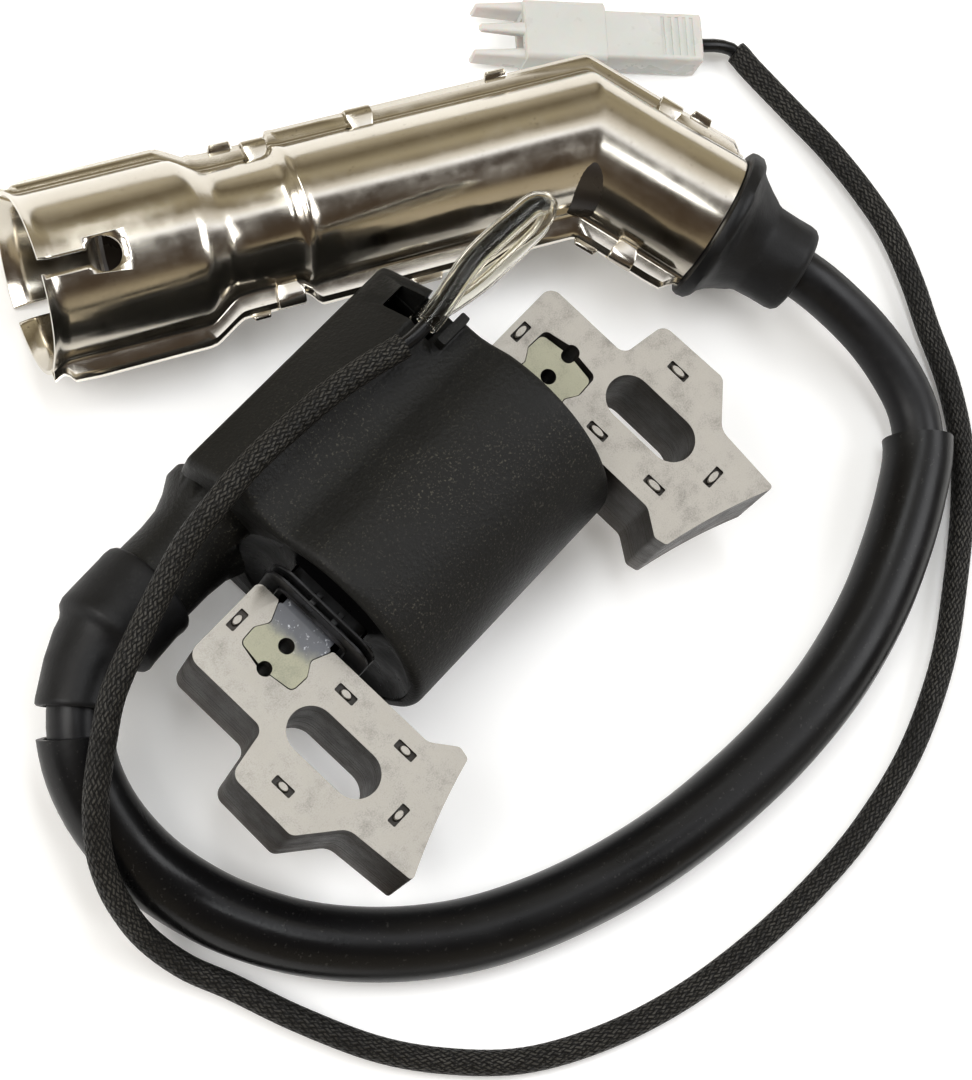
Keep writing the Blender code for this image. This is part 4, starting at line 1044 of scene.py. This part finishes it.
def halfSection(s, radius, flange, side):
    # one pressed half: flat flange, small fold, round wall and back on the inside
    low = shield["seam"]
    high = low + shield["sheet"]
    fold = math.radians(shield["fold"])
    extra = 0.35 if side < 0 else 0.0

    def half(reach, level, sharp, wide):
        first = Vector((radius + wide + extra, level))
        second = Vector((radius + min(wide, 0.75), level))
        third = Vector((reach * math.cos(fold), reach * math.sin(fold)))
        bend = Vector((radius + (0.06 if sharp else -0.35), level + 0.1))
        run = [first, second]
        run += [second.lerp(bend, t).lerp(bend.lerp(third, t), t) for t in (0.3, 0.6, 0.85)]
        return run

    def dent(angle):
        spot = Vector((s * 0.13, math.cos(angle) * 1.3 + side, math.sin(angle) * 1.3))
        return shield["dents"] * noise.noise(spot) + 0.02 * noise.noise(spot * 4.5)

    narrow = min(flange, 1.25 if s < -53.0 else 1.8)
    points = half(radius, high, True, narrow)
    count = 44
    angles = [fold + (math.pi - 2 * fold) * k / count for k in range(count + 1)]
    points += [(radius + dent(a)) * Vector((math.cos(a), math.sin(a))) for a in angles]
    points += [Vector((-p.x, p.y)) for p in reversed(half(radius, high, True, flange))]
    within = radius - shield["sheet"]
    points += [Vector((-p.x, p.y)) for p in half(within, low, False, flange + shield["sheet"])]
    points += [(within + dent(a)) * Vector((math.cos(a), math.sin(a))) for a in reversed(angles)]
    points += list(reversed(half(within, low, False, narrow + shield["sheet"])))
    return [(p.x, side * p.y) for p in points]


def elbowRings(section, count=6):
    # the wall turns through a short soft curve on each side of the mitre
    width = shield["crease"]
    slant = math.tan(cap["bend"] / 2)
    along = Vector((math.cos(cap["bend"]), -math.sin(cap["bend"]), 0))
    rings = []
    for t in (k / count for k in range(count + 1)):
        ring = []
        for y, z in section:
            corner = Vector((y * slant, y, z))
            first, last = corner - Vector((width, 0, 0)), corner + along * width
            ring.append(first.lerp(corner, t).lerp(corner.lerp(last, t), t))
        rings.append(ring)
    return rings


platedFinish = Finish("platedShield", metallic=1.0, specular=0.5)
wash = platedFinish.grain(38.0, 4.0, 0.6)
drawnLine = platedFinish.grain(1.0, 4.0, where=platedFinish.stretch(90.0, 90.0, 900.0))
smudge = platedFinish.grain(210.0, 5.0, 0.7)
pit = platedFinish.grain(2200.0, 2.0).steps(0.66, 0.75)
tint = platedFinish.blend(wash, (0.68, 0.64, 0.56), (0.52, 0.48, 0.41))
platedFinish.surface("colour", platedFinish.blend(pit * 0.5, tint, (0.25, 0.21, 0.17)))
platedFinish.surface("roughness", (smudge * 0.6 + drawnLine * 0.4).steps(0.3, 0.75, 0.11, 0.26))
platedFinish.bump(smudge * 0.5 + drawnLine * 0.35 + wash * 0.5, 0.18, 0.00012)


def pressedHalf(name, side):
    rings = []
    for s, radius, flange in shieldStations:
        if s == 8.0:
            rings += elbowRings(halfSection(0.0, 9.12, 2.3, side))
        rings.append([capSpot(s, y, z) for y, z in halfSection(s, radius, flange, side)])
    piece = mesh(name, skin(rings), platedFinish.material, 45, capFrame)
    width, centre, radius, aside = shield["slot"]
    opening = math.asin(width / radius)
    slit = arc(centre, aside, radius, math.pi - opening, opening - math.pi, 24)
    slit = [Vector((-80.0, aside + width)), *slit, Vector((-80.0, aside - width))]
    cut(piece, plate(slit, sorted((side * 4.0, side * 16.0))), place=capFrame)
    return piece


def clip(s, width, side, folded, radius):
    # a tab of the lower flange: folded over the upper one, or left standing out
    edge = radius + (2.15 if side > 0 else 2.65)
    if folded:
        centre = [(edge - 2.3, 0.98), (edge - 0.9, 1.0), (edge - 0.15, 0.92), (edge + 0.32, 0.62),
                  (edge + 0.42, 0.1), (edge + 0.2, -0.4), (edge - 0.5, -0.62)]
    else:
        centre = [(edge - 1.0, -0.42), (edge, -0.36), (edge + 0.7, -0.1), (edge + 1.25, 0.3)]
    points = [Vector(p) for p in centre]
    rings = []
    for k, point in enumerate(points):
        ahead = points[min(k + 1, len(points) - 1)] - points[max(k - 1, 0)]
        normal = Vector((-ahead.y, ahead.x)).normalized() * 0.24
        narrow = (0.72 if k == 0 else 0.95) if folded else 1.0 - 0.12 * k
        half = width / 2 * narrow
        loop = [(-half, 1), (-half + 0.3, 1.25), (half - 0.3, 1.25), (half, 1), (half, -1),
                (-half, -1)]
        rings.append([capSpot(s + a, side * (point + normal * b).x, (point + normal * b).y)
                      for a, b in loop])
    return softened(mesh("clip", skin(rings), platedFinish.material, 50, capFrame), 0.08, 1)


# distance from the elbow, width, side, folded over, wall radius there
clips = [(-48.2, 4.2, 1, False, 8.3), (-43.9, 3.4, 1, True, 8.35), (-28.9, 3.9, 1, True, 9.2),
         (-8.6, 4.2, 1, False, 9.1), (8.4, 3.5, 1, True, 9.2), (13.0, 3.9, 1, False, 9.3),
         (-49.6, 3.4, -1, False, 8.3), (-45.3, 4.0, -1, True, 8.35), (-26.5, 5.5, -1, False, 9.2),
         (7.0, 4.4, -1, False, 9.2), (12.0, 3.7, -1, True, 9.25)]
fit(pressedHalf("shieldUpper", 1), "plug_cap", "plated_shield", "shield_upper")
shieldLower = pressedHalf("shieldLower", -1)
joined(shieldLower, [clip(*entry) for entry in clips])
fit(shieldLower, "plug_cap", "plated_shield", "shield_lower")
print("plug cap's shield is pressed and clipped")


# a prong's values are its two sides and its reach
plug = {"box": (0.0, 14.2), "width": 7.1, "front": 25.6, "wide": (-4.8, 3.95), "lift": 5.6,
        "prongs": ((-4.72, -3.1, 6.6), (-1.5, 0.5, 6.2), (2.15, 3.88, 7.2)),
        "grooves": 5, "groovePitch": 1.05, "grooveDepth": 0.16}
nylonFinish = Finish("whiteNylon", scatter=0.35, scatterScale=0.003, specular=0.35)
milky = nylonFinish.grain(150.0, 4.0)
grime = nylonFinish.grain(600.0, 4.0)
nylonFinish.surface("colour", nylonFinish.blend(
    grime.steps(0.6, 0.82, 0.0, 0.35),
    nylonFinish.blend(milky, (0.47, 0.48, 0.455), (0.56, 0.565, 0.54)), (0.30, 0.285, 0.24)))
nylonFinish.surface("roughness", milky.steps(0.3, 0.7, 0.24, 0.42))
nylonFinish.bump(milky + grime * 0.2, 0.3, 0.0002)


def plugBlock(x, y, z, radius=0.5, taper=0.0):
    # a rounded block along the connector, slimmer toward its far end
    rings = []
    width, height = y[1] - y[0], z[1] - z[0]
    edge = min(0.25, 0.15 * min(width, height, x[1] - x[0]))
    for along, inset in ((x[0], edge), (x[0] + edge, 0.0), (x[1] - edge, taper),
                         (x[1], taper + edge)):
        wide, high = width - 2 * inset, height - 2 * inset
        face = rectangle(sum(y) / 2, sum(z) / 2, wide, high, min(radius, 0.4 * wide, 0.4 * high))
        rings.append([(along, p.x, p.y) for p in face])
    return skin(rings)


half, top = plug["width"] / 2, plug["lift"] / 2
end = plug["box"][1]
housingBody = mesh("connectorBody", plugBlock(plug["box"], (-half, half), (-top, top)),
                   nylonFinish.material, place=connectorFrame)
cut(housingBody, plugBlock((end - 0.4, plug["front"]), plug["wide"], (-top, top), 0.9), "UNION",
    connectorFrame)
for low, high, reach in plug["prongs"]:
    depth = (-top + 0.7, top - 0.7) if reach > 6.4 else (top - 2.0, top - 0.1)
    cut(housingBody, plugBlock((plug["front"] - 1.0, plug["front"] + reach), (low, high), depth,
                               0.6, 0.45), "UNION", connectorFrame)
cut(housingBody, plugBlock((3.8, plug["front"] + 0.6), (-2.3, 2.3), (-1.9, 1.42), 0.2),
    place=connectorFrame)
cut(housingBody, plugBlock((-1.0, 4.4), (-1.35, 1.35), (-1.3, 1.3), 0.1), place=connectorFrame)
for k in range(plug["grooves"]):
    x = 1.3 + k * plug["groovePitch"]
    for z in (-top, top):
        depth = (z - plug["grooveDepth"], z + plug["grooveDepth"])
        cut(housingBody, plugBlock((x, x + 0.5), (-half + 0.7, half - 0.7), depth, 0.05),
            place=connectorFrame)
softened(housingBody, 0.16, 2, 40)
connectorBody = fit(housingBody, "coil", "white_nylon", "connector_housing")
print("connector is made")


bakeliteFinish = Finish("bakelite", specular=0.5)
swirl = bakeliteFinish.grain(95.0, 5.0, distortion=0.6)
bakeliteFinish.surface("colour", bakeliteFinish.blend(swirl, (0.010, 0.009, 0.008),
                                                     (0.030, 0.022, 0.016)))
bakeliteFinish.surface("roughness", swirl.steps(0.3, 0.7, 0.22, 0.4))
bakeliteFinish.bump(swirl, 0.2, 0.0002)
outer = [(-66.0, 8.9), (-65.8, 9.25), (-65.2, 9.9), (-61.0, 9.9), (-57.4, 9.9), (-56.8, 9.75),
         (-52.8, 7.75), (-52.2, 7.5), (-43.2, 7.5), (-41.2, 8.15), (-20.0, 8.15), (-8.0, 8.15),
         (8.0, 8.15), (14.0, 8.25)]
inner = [(-66.0, 6.9), (-65.6, 6.45), (-53.0, 6.4), (-52.9, 3.8), (-43.0, 3.8), (-42.9, 3.1),
         (-8.0, 3.1), (8.0, 3.1), (14.0, 3.1)]


def flutes(s, angle):
    # shallow ribs hold the moulding inside the shield
    return -0.12 * max(0.0, math.cos(angle * 8)) if -64 < s < -58 else 0.0


capInsulator = capTurned("capInsulator", outer, inner, bakeliteFinish.material, 64, flutes)
fit(capInsulator, "plug_cap", "bakelite", "cap_insulator")


def windingFinish(name, turnsPerMetre, dark, light):
    # a wire's turns round the X axis: fine grooves with a varnish on top
    finish = Finish(name, metallic=1.0, coat=0.5, coatRoughness=0.15)
    turns = (finish.along("X") * turnsPerMetre).fraction()
    crown = (turns * math.pi).math("SINE")
    tone = finish.grain(240.0, 3.0)
    # each turn's crown is painted lighter and the groove between turns darker: a painted highlight
    # and painted shade, mixed with a random tone
    finish.surface("colour", finish.blend(tone * 0.5 + crown * 0.5, dark, light))
    finish.surface("roughness", tone.steps(0.3, 0.7, 0.25, 0.42))
    finish.bump(crown, 0.7, 0.0001)
    return finish


def speckled(name, scale, dark, light, rough=(0.3, 0.5), bump=0.3, **fixed):
    finish = Finish(name, **fixed)
    spots, broad = finish.grain(scale, 4.0), finish.grain(scale * 0.15, 3.0)
    finish.surface("colour", finish.blend(spots * 0.6 + broad * 0.4, dark, light))
    finish.surface("roughness", spots.steps(0.3, 0.7, *rough))
    finish.bump(spots, bump, 0.00015)
    return finish


primaryFinish = windingFinish("primaryCopper", 2200.0, (0.42, 0.15, 0.06), (0.85, 0.40, 0.20))
secondaryFinish = windingFinish("secondaryCopper", 9000.0, (0.32, 0.13, 0.06), (0.62, 0.30, 0.15))
spoolFinish = speckled("spoolNylon", 500.0, (0.012, 0.012, 0.013), (0.028, 0.028, 0.028),
                       (0.3, 0.5))
brassFinish = speckled("brass", 900.0, (0.60, 0.43, 0.17), (0.83, 0.64, 0.30), (0.16, 0.34), 0.2,
                       metallic=1.0)
springFinish = speckled("springSteel", 1100.0, (0.42, 0.41, 0.39), (0.66, 0.65, 0.62),
                        (0.2, 0.36), 0.2, metallic=1.0)
deviceFinish = speckled("moldedDevice", 1600.0, (0.010, 0.010, 0.011), (0.03, 0.03, 0.032),
                        (0.35, 0.55), 0.35)
capacitorFinish = speckled("dippedCapacitor", 350.0, (0.16, 0.035, 0.012), (0.30, 0.075, 0.025),
                           (0.18, 0.34), 0.5, coat=0.6)

boardFinish = Finish("greenBoard", coat=0.4)
cloth = boardFinish.grain(1400.0, 2.0)
track = boardFinish.cells(330.0, feature="F2")
boardFinish.surface("colour", boardFinish.blend(
    track.steps(0.5, 0.56), boardFinish.blend(cloth, (0.010, 0.075, 0.028), (0.018, 0.12, 0.045)),
    (0.035, 0.20, 0.07)))
boardFinish.surface("roughness", cloth.steps(0.3, 0.7, 0.25, 0.45))
boardFinish.bump(track.steps(0.5, 0.56) + cloth * 0.2, 0.4, 0.0001)


def banded(name, axis, pitch, base, stripes):
    # painted bands repeat along the body
    finish = Finish(name, coat=0.3)
    place = (finish.along(axis) * (1000.0 / pitch)).fraction()
    colour = base
    for k, stripe in enumerate(stripes):
        middle = (k + 0.5) / len(stripes)
        mask = (place - middle).math("ABSOLUTE").steps(0.07, 0.05)
        colour = finish.blend(mask, colour, stripe)
    dirt = finish.grain(700.0, 4.0)
    finish.surface("colour", finish.blend(dirt.steps(0.6, 0.8, 0.0, 0.4), colour,
                                          (0.05, 0.045, 0.04)))
    finish.surface("roughness", dirt.steps(0.3, 0.7, 0.28, 0.45))
    finish.bump(dirt, 0.2, 0.0001)
    return finish


resistorFinish = banded("bandedResistor", "X", 6.0, (0.50, 0.36, 0.20),
                        [(0.35, 0.02, 0.01), (0.02, 0.02, 0.02), (0.6, 0.25, 0.02)])
diodeFinish = banded("bandedDiode", "X", 8.0, (0.015, 0.015, 0.016), [(0.6, 0.6, 0.58)])
ceramicFinish = speckled("ceramicResistor", 800.0, (0.22, 0.17, 0.12), (0.34, 0.28, 0.20),
                         (0.4, 0.6), 0.3)

inside = {"primary_winding": primaryFinish, "secondary_bobbin": spoolFinish,
          "secondary_winding": secondaryFinish, "circuit_board": boardFinish,
          "power_transistor": deviceFinish, "capacitor": capacitorFinish,
          "resistor": resistorFinish, "diode": diodeFinish, "hv_terminal": brassFinish,
          "kill_terminal": brassFinish, "plug_terminal": brassFinish, "snap_ring": springFinish,
          "cap_resistor": ceramicFinish, "contact_spring": springFinish,
          "corner_contact": brassFinish, "lead_screw": springFinish}
for node, finish in inside.items():
    for socket in frame["nodes"][node].material_slots:
        socket.material = finish.material
print("parts inside have their finishes")

for piece, slot, nodes in ((hvLead, "lead_jacket", ("hv_lead",)),
                           (hvSleeve, "outer_tubing", ("outer_sleeve",)),
                           (killWire, "wire_insulation", ("kill_wire",)),
                           (clearSleeve, "clear_tubing", ("clear_sleeve",)),
                           (paleTail, "spring_steel", ()),
                           (braid, "varnished_braid", ("braided_sleeve",))):
    fit(piece, "coil", slot, *nodes)

(leadRoute.at(26) - coilCentre) * mm
leadRoute.inFrame(0, leadRoute.length, 3.0)
(killRoute.at(24) - coilCentre) * mm
wireRoute.inFrame(24.0, wireRoute.length, 2.0)
